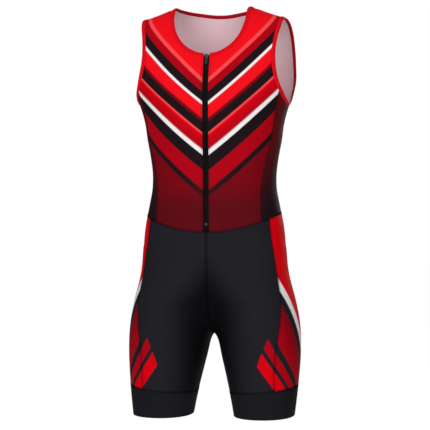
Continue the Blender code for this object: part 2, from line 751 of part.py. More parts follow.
def build_back(half):
    """The back in one piece: the left half and its mirror image, joined down the centre."""
    neck_rows = half[BACK_ROWS:]
    whole = np.concatenate((half[:, :0:-1] * MIRROR, half), axis=1)
    middle = half.shape[1] - 1
    width = whole.shape[1]
    grid = trimmed(whole, ring=False)
    for row in range(BACK_ROWS + 1, len(half)):
        grid[row, middle] = half[row, 0] + unit(half[row, 1] - half[row, 0]) * SEAM_GAP / 2
    normals = outward(grid)
    layers = [grid, grid - CLOTH * normals]
    extra = neck_rows[1:, 0] + unit(neck_rows[1:, 1] - neck_rows[1:, 0]) * SEAM_GAP / 2
    extra = extra * MIRROR
    extra_layers = [extra, extra - CLOTH * outward(extra)]
    count = len(half) * width
    points = np.concatenate([layer.reshape(-1, 3) for layer in layers] + extra_layers)

    def number(layer, row, column, right=False):
        if right and column == middle and row > BACK_ROWS:
            return 2 * count + layer * len(extra) + row - BACK_ROWS - 1
        return layer * count + row * width + column

    faces = []
    for row in range(len(half) - 1):
        for column in range(width - 1):
            right = column < middle
            for layer, order in ((0, 1), (1, -1)):
                quad = (number(layer, row, column, right), number(layer, row, column + 1, right),
                        number(layer, row + 1, column + 1, right), number(layer, row + 1, column, right))
                faces.append(quad[::order])
        for column in (0, width - 1):
            side = (number(0, row, column), number(0, row + 1, column),
                    number(1, row + 1, column), number(1, row, column))
            faces.append(side if column == 0 else side[::-1])
    for column in range(width - 1):
        right = column < middle
        foot = (number(1, 0, column), number(1, 0, column + 1), number(0, 0, column + 1), number(0, 0, column))
        last = len(half) - 1
        head = (number(0, last, column, right), number(0, last, column + 1, right),
                number(1, last, column + 1, right), number(1, last, column, right))
        faces.append(foot)
        faces.append(head)
    for row in range(BACK_ROWS, len(half) - 1):
        for right in (False, True):
            rim = (number(0, row, middle, right), number(0, row + 1, middle, right),
                   number(1, row + 1, middle, right), number(1, row, middle, right))
            faces.append(rim[::-1] if right else rim)
    add_solid("back", points, faces, RED)


def build_shorts(waist):
    """The six panels below the waist and the two leg bands."""
    band_top = leg_ring(BAND_Z, BAND_TILT, HEM_FRONT_DROP)
    hem = leg_ring(HEM_Z, 0.0, HEM_FRONT_DROP)
    rise_points = np.stack((np.zeros(len(RISE["y"])), RISE["y"], RISE["z"]), axis=-1)
    rise = through(np.concatenate((waist[:1], rise_points, waist[-1:])))
    rise = settle(rise, free=np.array([0.0, 1.0, 1.0]))
    rise[:, 0] = 0.0
    crotch_place = RISE_CROTCH_ROW * FINE
    front_rise = at(rise, spread(rise, RISE_ROWS, 0, crotch_place))
    back_rise = at(rise, spread(rise, RISE_ROWS, crotch_place))[::-1]
    crotch = front_rise[-1]

    inside = INSIDE_OF_LEG
    inseam = through(np.concatenate((crotch[None], columns(INSEAM, "x", "y", "z"), band_top[inside][None])))
    inseam = settle(evenly(settle(inseam), INSEAM_ROWS))
    inseam[0] = crotch
    inseam[-1] = band_top[inside]

    turns = np.concatenate((band_top[inside:-1], band_top[:inside + 1]))
    seam_turns = np.array([0, 90 + BAND_FRONT_SEAM_ANGLE, 90 + BAND_BACK_SEAM_ANGLE, 360])
    places = [spread(turns, LEG_COLUMNS, first, last) for first, last in zip(seam_turns, seam_turns[1:])]
    feet = [at(turns, place) for place in places]
    waist_stops = (0, SHORTS_FRONT_SEAM_ANGLE, SHORTS_BACK_SEAM_ANGLE, 180)
    tops = [at(waist, spread(waist, LEG_COLUMNS, first, last))
            for first, last in zip(waist_stops, waist_stops[1:])]
    for top in (tops[0][0], tops[2][-1]):
        top[0] = 0.0

    rows = RISE_ROWS + INSEAM_ROWS
    front_seam = side_seam(SHORTS_FRONT_SEAM, tops[1][0], feet[1][0], FRONT_SEAM_GUESS_Y, rows)
    back_seam = side_seam(SHORTS_BACK_SEAM, tops[2][0], feet[2][0], BACK_SEAM_GUESS_Y, rows)
    front_inner = np.concatenate((front_rise, inseam[1:]))
    back_inner = np.concatenate((back_rise, inseam[1:]))
    add_pair("shorts_front", patch(tops[0], feet[0], front_inner, front_seam), BLACK)
    add_pair("shorts_side", patch(tops[1], feet[1], front_seam, back_seam), DARK_RED)
    add_pair("shorts_back", patch(tops[2], feet[2], back_seam, back_inner), BLACK)

    ring_places = np.concatenate([place[:-1] for place in places])
    hem_turns = np.concatenate((hem[inside:-1], hem[:inside + 1]))
    upper_ring = at(turns, ring_places)
    lower_ring = at(hem_turns, ring_places)
    band = np.linspace(upper_ring, lower_ring, BAND_ROWS + 1)
    band[1:-1] = settle(band[1:-1])
    add_pair("leg_band", band, BAND_BLACK, raised=BAND_RAISED, thickness=BAND_CLOTH, ring=True)


def build():
    for old in list(bpy.data.objects):
        bpy.data.objects.remove(old, do_unlink=True)
    waist = waist_line()
    build_upper(waist)
    build_shorts(waist)
    build_slider()


build()
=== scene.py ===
"""Rowing unisuit, dressed: printed knit cloth, bindings, seams, threads, zip and pull tab.

Every cloth piece lies on the same smooth figure as the solids do, cut along the same
seams, with finer rows, rolled edges, soft creases and a lining of its own.
"""

import math

import bmesh
import bpy
import numpy as np
from mathutils import Matrix, Vector


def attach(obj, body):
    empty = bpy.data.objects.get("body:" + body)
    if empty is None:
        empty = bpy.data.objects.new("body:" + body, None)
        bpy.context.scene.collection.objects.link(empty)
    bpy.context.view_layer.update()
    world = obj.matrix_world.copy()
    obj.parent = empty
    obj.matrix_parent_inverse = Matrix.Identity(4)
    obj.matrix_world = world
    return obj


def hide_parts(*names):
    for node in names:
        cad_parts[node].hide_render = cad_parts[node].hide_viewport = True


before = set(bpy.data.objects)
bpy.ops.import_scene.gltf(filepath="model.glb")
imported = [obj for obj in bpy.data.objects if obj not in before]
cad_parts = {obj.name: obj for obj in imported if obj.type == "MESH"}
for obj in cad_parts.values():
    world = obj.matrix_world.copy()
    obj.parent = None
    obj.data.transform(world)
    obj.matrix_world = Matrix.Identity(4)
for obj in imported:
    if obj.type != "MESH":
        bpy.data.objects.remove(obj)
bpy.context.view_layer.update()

# Cloth, seams and bindings
CLOTH = 0.0010
SEAM_GAP = 0.0003
SEAM_DRAW = 0.00004
BAND_RAISED = 0.0004
BAND_CLOTH = 0.0017
BINDING_WIDTH = 0.008
BINDING_PROFILE = (
    (0.0083, 0.0001), (0.0079, 0.0007), (0.0070, 0.0009), (0.0063, 0.0006), (0.0055, 0.0010),
    (0.0038, 0.0013), (0.0020, 0.0012), (0.0007, 0.0008), (0.0000, 0.0000), (0.0003, -0.0008),
    (0.0012, -0.0013), (0.0030, -0.0016), (0.0060, -0.0016), (0.0081, -0.0014), (0.0083, -0.0010),
)
BINDING_WELD = 2e-5
BINDING_STITCH_PLACE = 0.0063
BINDING_STITCH_LIFT = 0.0008
PUCKER_PITCH = 0.0055
PUCKER_HEIGHT = 0.00012

# Finer rows, rolled edges and creases
FINER = 4
FINE_STEPS = 3
EDGE_PLACES = np.array((0.06, 0.16))
WELD = 1e-6
SEAM_SINK = 0.0005
SEAM_REACH = 0.0030
FOLD_RISE = 0.0005
FOLD_REACH = 0.0022
FOLD_STITCH_PLACE = 0.0030
FOLD_STITCH_REACH = 0.0012
FOLD_STITCH_SINK = 0.0004
FOLD_STITCH_LIFT = -0.0001

# The outline of the seat pad, which shows through the front: a soft oval ridge
PAD_HALF_WIDTH = 0.060
PAD_HALF_HEIGHT = 0.046
PAD_MIDDLE_Z = -0.640
PAD_EDGE = 0.09
PAD_RISE = 0.0014
PAD_FRONT_Y = (-0.045, -0.065)

# Threads
COVER_PITCH = 0.0014
COVER_HALF = 0.0019
RISE_COVER_HALF = 0.0023
COVER_LIFT = 0.0001
COVER_THREAD = 0.00022
NEEDLE_THREAD = 0.00024
NEEDLE_BUMP = 0.0001
STITCH_PITCH = 0.0030
STITCH_STEPS = 6
STITCH_SHOWN = 6
STITCH_DIP = 0.45
BAND_SEAM_LIFT = 0.0003
NECK_POINTS = 220

# Zip
ZIP_HALF_GAP = 0.0064
TAPE_CLOTH = 0.0010
TAPE_SUNK = 0.0019
TAPE_TOP_DROP = 0.0040
TAPE_X = np.array((0.0002, 0.0005, 0.0011, 0.0020, 0.0028, 0.0034, 0.0055, 0.0090, 0.0134))
TAPE_HUMP_X = (0.0002, 0.0005, 0.0011, 0.0020, 0.0028, 0.0034)
TAPE_HUMP_OUT = (0.0002, 0.0007, 0.0009, 0.0008, 0.0004, 0.0)
COIL_PITCH = 0.0016
COIL_STEPS = 8
COIL_AWAY = 0.0012
COIL_ACROSS = 0.0017
COIL_HIGH = 0.0007
COIL_SUNK = 0.0038
COIL_THREAD = 0.0003

# Form of the figure
CENTRE_Y = 0.006
BACK_POWER = 2.4
LEG_POWER = 2.15
FRONT_SHOULDER_START = -0.20
BACK_SHOULDER_START = -0.16
CROTCH_ROUND_START = -0.540
CROTCH_ROUND_DROP = 0.134
FORK_BLEND = 0.008
HIP_BLEND = 0.030
LEG_TOP = -0.50
LEG_TOP_BLEND = 0.040

# Seam lines
WAIST_SIDE_Z = -0.429
WAIST_FRONT_DROP = 0.040
WAIST_BACK_RISE = 0.009
UPPER_FRONT_SEAM_ANGLE = 47.5
UPPER_BACK_SEAM_ANGLE = 128.0
SHORTS_FRONT_SEAM_ANGLE = 57.0
SHORTS_BACK_SEAM_ANGLE = 122.0
BAND_Z = -0.802
BAND_TILT = 0.007
HEM_Z = -0.859
HEM_FRONT_DROP = 0.004
INSIDE_OF_LEG = 270
BAND_FRONT_SEAM_ANGLE = 27.0
BAND_BACK_SEAM_ANGLE = 150.0
NECK_HALF_WIDTH = 0.077
NECK_DROP = 0.085
NECK_CENTRE_Z = -0.008

# Grid counts
SIDE_ROWS = 12
ARM_ROWS = 11
ZIP_ROWS = 14
BACK_ROWS = 17
FRONT_COLUMNS = 8
SIDE_COLUMNS = 7
RISE_ROWS = 13
INSEAM_ROWS = 7
LEG_COLUMNS = 8
BAND_ROWS = 3
FINE = 24

# Where a line starts before it settles on the figure
NECK_GUESS_Y = -0.08
ZIP_GUESS_Y = -0.09
FRONT_SEAM_GUESS_Y = -0.06
BACK_SEAM_GUESS_Y = 0.08
PROBE = 0.0001
TINY = 1e-9
SETTLE_STEPS = 10

# Left to right, and the ways in which a point may move as it settles
MIRROR = np.array([-1.0, 1.0, 1.0])
FREE = np.ones(3)
DEPTH_ONLY = np.array([0.0, 1.0, 0.0])
HEIGHT_ONLY = np.array([0.0, 0.0, 1.0])
MIDDLE_ONLY = np.array([0.0, 1.0, 1.0])
LEVEL_ONLY = np.array([1.0, 1.0, 0.0])
SMOOTH_ANGLE = math.radians(40)


def table(columns, rows):
    """A short table, read by the names of its columns."""
    return dict(zip(columns.split(), np.array(rows, dtype=float).T))


TORSO = table("z half_width front back front_power", [
    (0.020, 0.200, 0.080, 0.108, 2.9), (-0.060, 0.199, 0.087, 0.112, 3.0),
    (-0.100, 0.195, 0.094, 0.115, 3.1), (-0.136, 0.188, 0.103, 0.116, 3.1),
    (-0.170, 0.172, 0.108, 0.115, 3.0), (-0.203, 0.1580, 0.108, 0.112, 2.8),
    (-0.237, 0.1490, 0.107, 0.107, 2.6), (-0.272, 0.1442, 0.105, 0.101, 2.5),
    (-0.306, 0.1378, 0.102, 0.094, 2.5), (-0.345, 0.1330, 0.100, 0.087, 2.5),
    (-0.375, 0.1335, 0.100, 0.084, 2.5), (-0.409, 0.1395, 0.100, 0.087, 2.5),
    (-0.444, 0.1468, 0.099, 0.096, 2.5), (-0.478, 0.1512, 0.098, 0.106, 2.6),
    (-0.513, 0.1528, 0.097, 0.114, 2.7), (-0.547, 0.1525, 0.096, 0.118, 2.7),
    (-0.600, 0.1470, 0.094, 0.118, 2.7), (-0.680, 0.1300, 0.090, 0.105, 2.7),
])
LEG = table("z inner outer centre_y front back", [
    (-0.500, 0.030, 0.100, 0.006, 0.050, 0.060), (-0.560, 0.014, 0.150, 0.006, 0.084, 0.096),
    (-0.600, 0.006, 0.169, 0.006, 0.092, 0.108), (-0.640, 0.003, 0.1795, 0.006, 0.094, 0.108),
    (-0.680, 0.0055, 0.1850, 0.006, 0.094, 0.102), (-0.700, 0.0105, 0.1860, 0.005, 0.092, 0.099),
    (-0.735, 0.0182, 0.1857, 0.002, 0.087, 0.095), (-0.770, 0.0268, 0.1835, -0.001, 0.082, 0.090),
    (-0.805, 0.0350, 0.1803, -0.004, 0.078, 0.085), (-0.865, 0.0470, 0.1735, -0.008, 0.072, 0.078),
])
# Height of the shoulder line at each distance from the centre
SHOULDER = table("x z", [
    (0.000, 0.060), (0.040, 0.045), (0.065, 0.024), (0.082, 0.0118), (0.097, 0.0070), (0.113, 0.0008),
    (0.131, -0.0055), (0.1525, -0.0120), (0.200, -0.026),
])
# Open edge of the left armhole, from the shoulder down the front and up the back
ARMHOLE = table("x y z", [
    (0.1540, 0.006, -0.0135), (0.1505, -0.020, -0.0270), (0.1470, -0.050, -0.0520),
    (0.1455, -0.068, -0.0770), (0.1460, -0.078, -0.1020), (0.1485, -0.080, -0.1310),
    (0.1515, -0.068, -0.1580), (0.1540, -0.040, -0.1790), (0.1560, -0.006, -0.1890),
    (0.1600, 0.026, -0.1860), (0.1655, 0.052, -0.1660), (0.1670, 0.072, -0.1240), (0.1645, 0.068, -0.0750),
    (0.1600, 0.044, -0.0330),
])
ARMHOLE_FRONT_CORNER = 6.35
ARMHOLE_BACK_CORNER = 10.2
# Top of the neck opening, over the shoulder and round the back to the centre
NECK_TOP = table("x y z", [
    (0.0785, -0.034, 0.0062), (0.0800, 0.000, 0.0125), (0.0762, 0.032, 0.0125), (0.0590, 0.058, 0.0085),
    (0.0310, 0.074, 0.0040), (0.0000, 0.080, 0.0025),
])
NECK_ARC_ANGLES = (0, 20, 40, 60, 80)
NECK_SHOULDER_PLACE = 6.2
# Side seams, as their distance from the centre at each height
UPPER_FRONT_SEAM = table("x z", [(0.1115, -0.394), (0.1187, -0.330), (0.1320, -0.274), (0.1410, -0.2185)])
UPPER_BACK_SEAM = table("x z", [(0.1120, -0.380), (0.1150, -0.330), (0.1260, -0.280), (0.1440, -0.225)])
SHORTS_FRONT_SEAM = table("x z", [
    (0.1330, -0.480), (0.1440, -0.552), (0.1530, -0.610), (0.1540, -0.6465), (0.1500, -0.689),
    (0.1440, -0.730),
])
SHORTS_BACK_SEAM = table("x z", [
    (0.1340, -0.480), (0.1420, -0.552), (0.1480, -0.610), (0.1490, -0.6465), (0.1470, -0.689),
    (0.1420, -0.730),
])
# Seam between the legs, from the waist at the front, under, and up to the waist at the back
RISE = table("y z", [
    (-0.092, -0.520), (-0.088, -0.590), (-0.074, -0.642), (-0.042, -0.672), (0.002, -0.682),
    (0.050, -0.674), (0.092, -0.645), (0.116, -0.590), (0.121, -0.530), (0.106, -0.470),
])
RISE_CROTCH_ROW = 5
INSEAM = table("x y z", [(0.0105, 0.004, -0.700), (0.0182, 0.002, -0.735), (0.0268, -0.001, -0.770)])

# Slider, measured in its own frame: across, up along the zip, out from the cloth
SLIDER_Z = -0.0995
SLIDER_WIDTH = 0.0076
BAIL_UP = 0.0008
BAIL_OUT = 0.0026
BAIL_INNER_HALF = 0.0019
BAIL_EAR = 0.0011
TAB_LENGTH = 0.0145
TAB_WIDTH = 0.0056
TAB_THICKNESS = 0.0018
TAB_START = 0.0036
STOP_Z = -0.4525
STOP_SIZE = (0.0066, 0.0055, 0.0018)
END_TAB_Z = -0.4605
END_TAB_SIZE = (0.0104, 0.0090, 0.0012)
SEAT_GAP = 0.0003
STOP_ROUND = 0.0005
STOP_SUNK = 0.8
CHEEK_WIDTH = 0.0016
CHEEK_AWAY = 0.0022
CHEEK_SHARE = 0.94
END_TAB_ROUND = 0.0004

# Blocks of the slider and the pull tab: size, middle and rounding
FRONT_PLATE = ((SLIDER_WIDTH, 0.0110, 0.0017), (0, -0.0003, -0.00075), 0.0005)
REAR_PLATE = ((SLIDER_WIDTH, 0.0110, 0.0012), (0, -0.0003, -0.0038), 0.0004)
PLATE_NARROW = 0.70
PLATE_TAPER = 1.6
PLATE_CUTS = 3
POST = ((0.0034, 0.0016, 0.0026), (0, 0.0044, -0.0023), 0.0004)
NOSE = ((0.0030, 0.0050, 0.0006), (0, -0.0022, 0.0002), 0.00025)
STAPLE_FOOT = -0.0004
STAPLE_CORNER = 0.0008
STAPLE_NICK = 0.3
STAPLE_RADIUS = 0.00055
EYE_RADII = (0.0016, 0.00048)
EYE_WIDEN = 2.6
TAB_NECK = ((0.0030, 0.0044, 0.0013), (0, -0.0034, 0), 0.0004)
GRIP_NARROW = 0.72
GRIP_FACING = 0.9
GRIP_LEAST_FACE = 1e-5
GRIP_RIM = 0.0008
GRIP_WALL = 0.00025
GRIP_SINK = 0.0004
GRIP_ROUND = 0.0003
GRIP_RIB = (0.0030, 0.0005, 0.0014)
GRIP_RIB_START = 0.0046
GRIP_RIB_PITCH = 0.0014
GRIP_RIB_ROUND = 0.00016
GRIP_RIBS = 6

# Soft creases on the left half, which the right half mirrors: from x, y, z to x, y, z, reach and rise
CREASES = (
    (0.012, -0.088, -0.628, 0.062, -0.100, -0.592, 0.0070, -0.0016),
    (0.012, -0.080, -0.646, 0.070, -0.098, -0.622, 0.0060, 0.0014),
    (0.020, -0.074, -0.672, 0.078, -0.094, -0.668, 0.0075, -0.0016),
    (0.024, -0.070, -0.700, 0.070, -0.090, -0.716, 0.0075, -0.0014),
    (0.132, -0.066, -0.214, 0.098, -0.098, -0.246, 0.0085, -0.0016),
    (0.126, -0.060, -0.240, 0.100, -0.092, -0.268, 0.0075, 0.0010),
    (0.126, -0.030, -0.352, 0.076, -0.094, -0.366, 0.0075, -0.0014),
    (0.130, -0.030, -0.376, 0.088, -0.090, -0.386, 0.0070, -0.0010),
    (0.128, 0.030, -0.350, 0.050, 0.090, -0.362, 0.0085, -0.0019),
    (0.128, 0.030, -0.374, 0.030, 0.090, -0.384, 0.0085, -0.0018),
    (0.126, 0.040, -0.396, 0.056, 0.092, -0.402, 0.0080, 0.0012),
    (0.140, 0.060, -0.212, 0.108, 0.104, -0.246, 0.0090, -0.0019),
    (0.030, 0.110, -0.634, 0.110, 0.100, -0.652, 0.0090, -0.0019),
    (0.026, 0.096, -0.660, 0.100, 0.100, -0.682, 0.0080, 0.0012),
    (0.060, 0.088, -0.752, 0.140, 0.080, -0.746, 0.0080, -0.0014),
)
CREASE_START = 0.08
CREASE_SPAN = 0.84
CREASE_POWER = 1.5


def ink(red, green, blue):
    """A dye colour, as light values, from its 0 to 255 values."""
    parts = [value / 255 for value in (red, green, blue)]
    return (*[part / 12.92 if part <= 0.04045 else ((part + 0.055) / 1.055) ** 2.4 for part in parts], 1.0)


# Colours
INK_BRIGHT = ink(240, 16, 28)
INK_RED = ink(212, 0, 18)
INK_MID_RED = ink(172, 4, 22)
INK_DARK_RED = ink(120, 8, 20)
INK_WAIST_RED = ink(92, 12, 22)
INK_HIP_RED = ink(220, 0, 18)
INK_SALMON = ink(246, 74, 76)
INK_BLACK = ink(30, 20, 24)
INK_WHITE = ink(240, 236, 236)
INK_SIDE_RED = ink(96, 14, 20)
INK_SIDE_DARK = ink(50, 22, 24)
SHORTS_BLACK = ink(33, 32, 37)
# Painted shade: the black of the shorts darkened between the legs
SHORTS_PAINTED_SHADE = ink(11, 11, 14)
BAND_BLACK = ink(28, 27, 32)
LINING_PALE = ink(246, 214, 220)
LINING_DARK = ink(70, 66, 72)
BINDING_FRONT = ink(218, 10, 24)
# Painted shade: the binding's red darkened round the back
BINDING_BACK_PAINTED_SHADE = ink(176, 20, 32)
TAPE_BLACK = ink(17, 13, 15)
THREAD_RED = ink(205, 40, 52)
THREAD_DARK_RED = ink(74, 16, 22)
THREAD_BLACK = ink(9, 9, 11)
METAL_DARK = ink(96, 96, 100)
METAL_BRIGHT = ink(150, 150, 154)
PLASTIC_DARK = ink(24, 24, 27)
PLASTIC_WORN = ink(40, 40, 43)
COIL_DARK = ink(22, 20, 23)
COIL_PALE = ink(38, 34, 38)

# Print: a band is where it starts and its two colours, and it ends where the next one starts
CHEVRON_SLOPE = -0.80
UPPER_HIGH = 0.04
UPPER_BANDS = (
    (-0.540, INK_DARK_RED, INK_DARK_RED),
    (-0.400, INK_BLACK, INK_BLACK),
    (-0.386, INK_MID_RED, INK_MID_RED),
    (-0.345, INK_BLACK, INK_BLACK),
    (-0.312, INK_WHITE, INK_WHITE),
    (-0.300, INK_MID_RED, INK_RED),
    (-0.268, INK_SALMON, INK_SALMON),
    (-0.262, INK_BLACK, INK_BLACK),
    (-0.240, INK_DARK_RED, INK_DARK_RED),
    (-0.232, INK_BRIGHT, INK_BRIGHT),
    (-0.203, INK_WHITE, INK_WHITE),
    (-0.196, INK_BLACK, INK_BLACK),
    (-0.176, INK_MID_RED, INK_MID_RED),
    (-0.158, INK_SALMON, INK_SALMON),
    (-0.150, INK_BRIGHT, INK_RED),
)
FADE_HEIGHTS = (-0.320, -0.455)
PRINT_TURN = 0.6
PRINT_TURNS = {"front": (1, -0.095), "back": (-1, 0.100)}
SIDE_FADE_HEIGHTS = (-0.44, -0.24)
SIDE_FADE_ACROSS = (0.0, 0.10)
SIDE_SLOPE = 1.3
SIDE_HIGH = -0.20
SIDE_BANDS = (
    (-0.860, SHORTS_BLACK, SHORTS_BLACK),
    (-0.800, INK_RED, INK_RED),
    (-0.762, SHORTS_BLACK, SHORTS_BLACK),
    (-0.748, INK_MID_RED, INK_MID_RED),
    (-0.722, SHORTS_BLACK, SHORTS_BLACK),
    (-0.700, INK_MID_RED, INK_DARK_RED),
    (-0.618, SHORTS_BLACK, SHORTS_BLACK),
    (-0.592, INK_WHITE, INK_WHITE),
    (-0.566, INK_HIP_RED, INK_HIP_RED),
)
FRONT_BARS = (*SIDE_BANDS[:4], (-0.722, SHORTS_BLACK, SHORTS_BLACK))
# Where the painted shade between the legs fades out to the plain black: across, from what height, and how
# fast it narrows higher up
CROTCH_SHADE_ACROSS = (0.015, 0.105)
CROTCH_SHADE_Z = -0.62
CROTCH_SHADE_RISE = 0.8
BAR_END = -0.05
BAR_END_Z = -0.80
BAR_END_SLOPE = 0.25
PRINT_BLUR = 0.0005
BAND_EDGE = 0.0006
DOT_PITCH = 0.0034
DOT_SIZE = 0.72
DOT_SOFT = 0.04
FADE_POWER = 3.0

# How rough each finish is
ROUGHNESS = {
    "knit": 0.52, "shorts": 0.48, "shorts_side": 0.50, "band": 0.60, "binding": 0.5, "lining": 0.75,
    "tape": 0.62, "thread": 0.55, "coil": 0.35, "metal": 0.34, "plastic": 0.42, "floor": 0.9,
}

# Cloth looks
KNIT_GLOSS = 0.015
KNIT_SHEEN = 0.005
RIB = 0.0009
COURSE = 0.0007
KNIT_DEPTH = 0.00009
STITCH_SHARE = 0.22
RIB_SHARE = 0.7
UNEVEN_SCALE = 900.0
UNEVEN_SHARE = 0.35
KNIT_SHADE = (0.14, 0.90)
DRIFT_SCALE = 14.0
DRIFT_AMOUNT = 0.10
LINING_DRIFT = 0.08
LINING_SHEEN = 0.05
LINING_GLOSS = 0.2
LINING_RIB = RIB * 1.2
LINING_COURSE = COURSE * 0.8
BAND_RIB = RIB * 1.8
BAND_DEPTH = 0.00016
BINDING_RIB = RIB * 0.8
BINDING_COURSE = COURSE * 0.8
# Where the painted shade on the binding starts and ends, front to back
BINDING_SHADE_TURNS = (0.0, 0.03)

# Looks of the zip, the threads and the pull tab: a pair is how much the grain adds, and what it adds to
TAPE_RIB = 0.0011
TAPE_LINE = 0.0009
TAPE_RIB_SHARE = 0.5
TAPE_LINE_SHARE = 0.3
TAPE_SHADE = (0.12, 0.95)
TAPE_DEPTH = 0.00008
TAPE_GLOSS = 0.05
THREAD_GRAIN = 2600.0
THREAD_SHADE = (0.4, 0.8)
THREAD_DEPTH = 0.00005
THREAD_GLOSS = 0.08
METAL_GRAIN = 1800.0
METAL_CLOUDS = 260.0
METAL_RUBBED = (0.42, 0.62)
METAL_ROUGHNESS = (0.25, 0.22)
METAL_DEPTH = 0.00002
PLASTIC_GRAIN = 3200.0
PLASTIC_CLOUDS = 300.0
PLASTIC_ROUGHNESS = (0.25, 0.32)
PLASTIC_DEPTH = 0.00004
COIL_CLOUDS = 400.0
COIL_ROUGHNESS = (0.2, 0.26)

# Studio
CAMERA_AZIMUTH = 11.0
SENSOR = 36.0
CLIP_START = 0.05
CAMERA_AWAY = 3.6
CAMERA_ASIDE = 0.0013
FRAME_WIDTH = 0.9245
MIDDLE_Z = -0.433
FLOOR_Z = -1.47
FLOOR_SIZE = 60.0
FLOOR_SHADE = 0.80
FLOOR_GLOW = 0.75
FLOOR_GRAIN = 40.0
FLOOR_UNEVEN = 0.02
WORLD_LIGHT = 0.30
WORLD_GLOSS = 0.10
WORLD_SEEN = 1.0
# Each light: its name, place, width and height, and power
LIGHTS = (
    ("key", (-0.9, -3.2, 0.5), (1.6, 1.8), 44.0),
    ("fill", (1.3, -3.1, 0.1), (1.6, 1.8), 40.0),
    ("top", (0.0, -0.4, 2.2), (2.0, 1.6), 12.0),
    ("behind_left", (0.8, 3.3, 0.6), (1.4, 1.8), 22.0),
    ("behind_right", (-0.8, 3.3, 0.6), (1.4, 1.8), 22.0),
)


def smooth_value(knots, values, at):
    """The value on a smooth curve through rising knots."""
    slopes = np.gradient(values, knots)
    at = np.clip(at, knots[0], knots[-1])
    span = np.clip(np.searchsorted(knots, at) - 1, 0, len(knots) - 2)
    width = knots[span + 1] - knots[span]
    t = (at - knots[span]) / width
    start = (1 + 2 * t) * (1 - t) ** 2 * values[span] + t * (1 - t) ** 2 * width * slopes[span]
    end = t * t * (3 - 2 * t) * values[span + 1] + t * t * (t - 1) * width * slopes[span + 1]
    return start + end


def at_height(sections, column, z):
    """A column of a top-to-bottom section table at any height."""
    return smooth_value(sections["z"][::-1], sections[column][::-1], z)


def torso(points):
    """Zero on the torso's surface, below zero inside."""
    x, y, z = np.moveaxis(points, -1, 0)
    in_front = y < CENTRE_Y
    power = np.where(in_front, at_height(TORSO, "front_power", z), BACK_POWER)
    depth = np.where(in_front, at_height(TORSO, "front", z), at_height(TORSO, "back", z))
    shoulder_start = np.where(in_front, FRONT_SHOULDER_START, BACK_SHOULDER_START)
    shoulder_top = smooth_value(SHOULDER["x"], SHOULDER["z"], abs(x))
    across = abs(x) / at_height(TORSO, "half_width", z)
    up = np.maximum(z - shoulder_start, 0) / (shoulder_top - shoulder_start)
    down = np.maximum(CROTCH_ROUND_START - z, 0) / CROTCH_ROUND_DROP
    shares = np.stack((1 - across ** power, 1 - up ** power, 1 - down ** power))
    lowest = shares.min(axis=0)
    section = np.where(lowest > 0, shares.prod(axis=0), lowest)
    return (abs(y - CENTRE_Y) / depth) ** power - section


def leg(points, side):
    """Zero on the surface of one leg, side +1 for the left and -1 for the right."""
    x, y, z = np.moveaxis(points, -1, 0)
    inner = at_height(LEG, "inner", z)
    outer = at_height(LEG, "outer", z)
    centre_y = at_height(LEG, "centre_y", z)
    depth = np.where(y < centre_y, at_height(LEG, "front", z), at_height(LEG, "back", z))
    across = abs(side * x - (outer + inner) / 2) / ((outer - inner) / 2)
    return across ** LEG_POWER + (abs(y - centre_y) / depth) ** LEG_POWER - 1


def gradient(field, points):
    """How a field changes along each axis."""
    slopes = []
    for axis in range(3):
        step = np.zeros(3)
        step[axis] = PROBE
        slopes.append((field(points + step) - field(points - step)) / (2 * PROBE))
    return np.stack(slopes, axis=-1)


def distance(field, points):
    """Rough distance from a field's surface, below zero inside."""
    return field(points) / (np.linalg.norm(gradient(field, points), axis=-1) + TINY)


def blend(first, second, width):
    """The union of two distances with a rounded valley between them."""
    share = np.clip(0.5 + 0.5 * (second - first) / width, 0, 1)
    return second * (1 - share) + first * share - width * share * (1 - share)


def figure(points):
    """Rough distance from the whole figure's surface."""
    legs = [
        -blend(-distance(lambda p, side=side: leg(p, side), points), LEG_TOP - points[..., 2], LEG_TOP_BLEND)
        for side in (1, -1)
    ]
    return blend(distance(torso, points), blend(legs[0], legs[1], FORK_BLEND), HIP_BLEND)


def settle(points, free=FREE, steps=SETTLE_STEPS):
    """Lays points on the figure, moving them only along the free axes."""
    points = np.array(points, dtype=float)
    for _ in range(steps):
        slope = gradient(figure, points) * free
        points -= (figure(points) / (slope ** 2).sum(axis=-1))[..., None] * slope
    return points


def unit(vectors):
    """Vectors of length one."""
    return vectors / np.linalg.norm(vectors, axis=-1, keepdims=True)


def outward(points):
    """The direction straight out of the figure."""
    return unit(gradient(figure, points))


def columns(named, *names):
    """Some columns of a table, side by side."""
    return np.stack([named[name] for name in names], axis=-1)


def through(points, closed=False):
    """A smooth curve through points, in small steps."""
    points = np.array(points, dtype=float)
    if closed:
        ends = (points[-1:], points, points[:2])
    else:
        ends = (2 * points[:1] - points[1:2], points, 2 * points[-1:] - points[-2:-1])
    knots = np.concatenate(ends)
    t = np.linspace(0, 1, FINE, endpoint=False)[:, None]
    spans = []
    for a, b, c, d in zip(knots, knots[1:], knots[2:], knots[3:]):
        spans.append(b + 0.5 * t * (c - a + t * (2 * a - 5 * b + 4 * c - d + t * (3 * (b - c) + d - a))))
    spans.append(knots[-2][None])
    return np.concatenate(spans)


def spread(curve, count, first=0.0, last=None):
    """Places on a curve, evenly spaced from the first to the last."""
    whole = np.arange(len(curve))
    last = len(curve) - 1 if last is None else last
    lengths = np.concatenate(([0.0], np.cumsum(np.linalg.norm(np.diff(curve, axis=0), axis=1))))
    ends = np.interp((first, last), whole, lengths)
    return np.interp(np.linspace(ends[0], ends[1], count + 1), lengths, whole)


def at(curve, places):
    """The points at places along a curve."""
    whole = np.arange(len(curve))
    return np.stack([np.interp(places, whole, curve[:, axis]) for axis in range(3)], axis=-1)


def evenly(curve, count):
    """A curve with its points evenly spaced."""
    return at(curve, spread(curve, count))


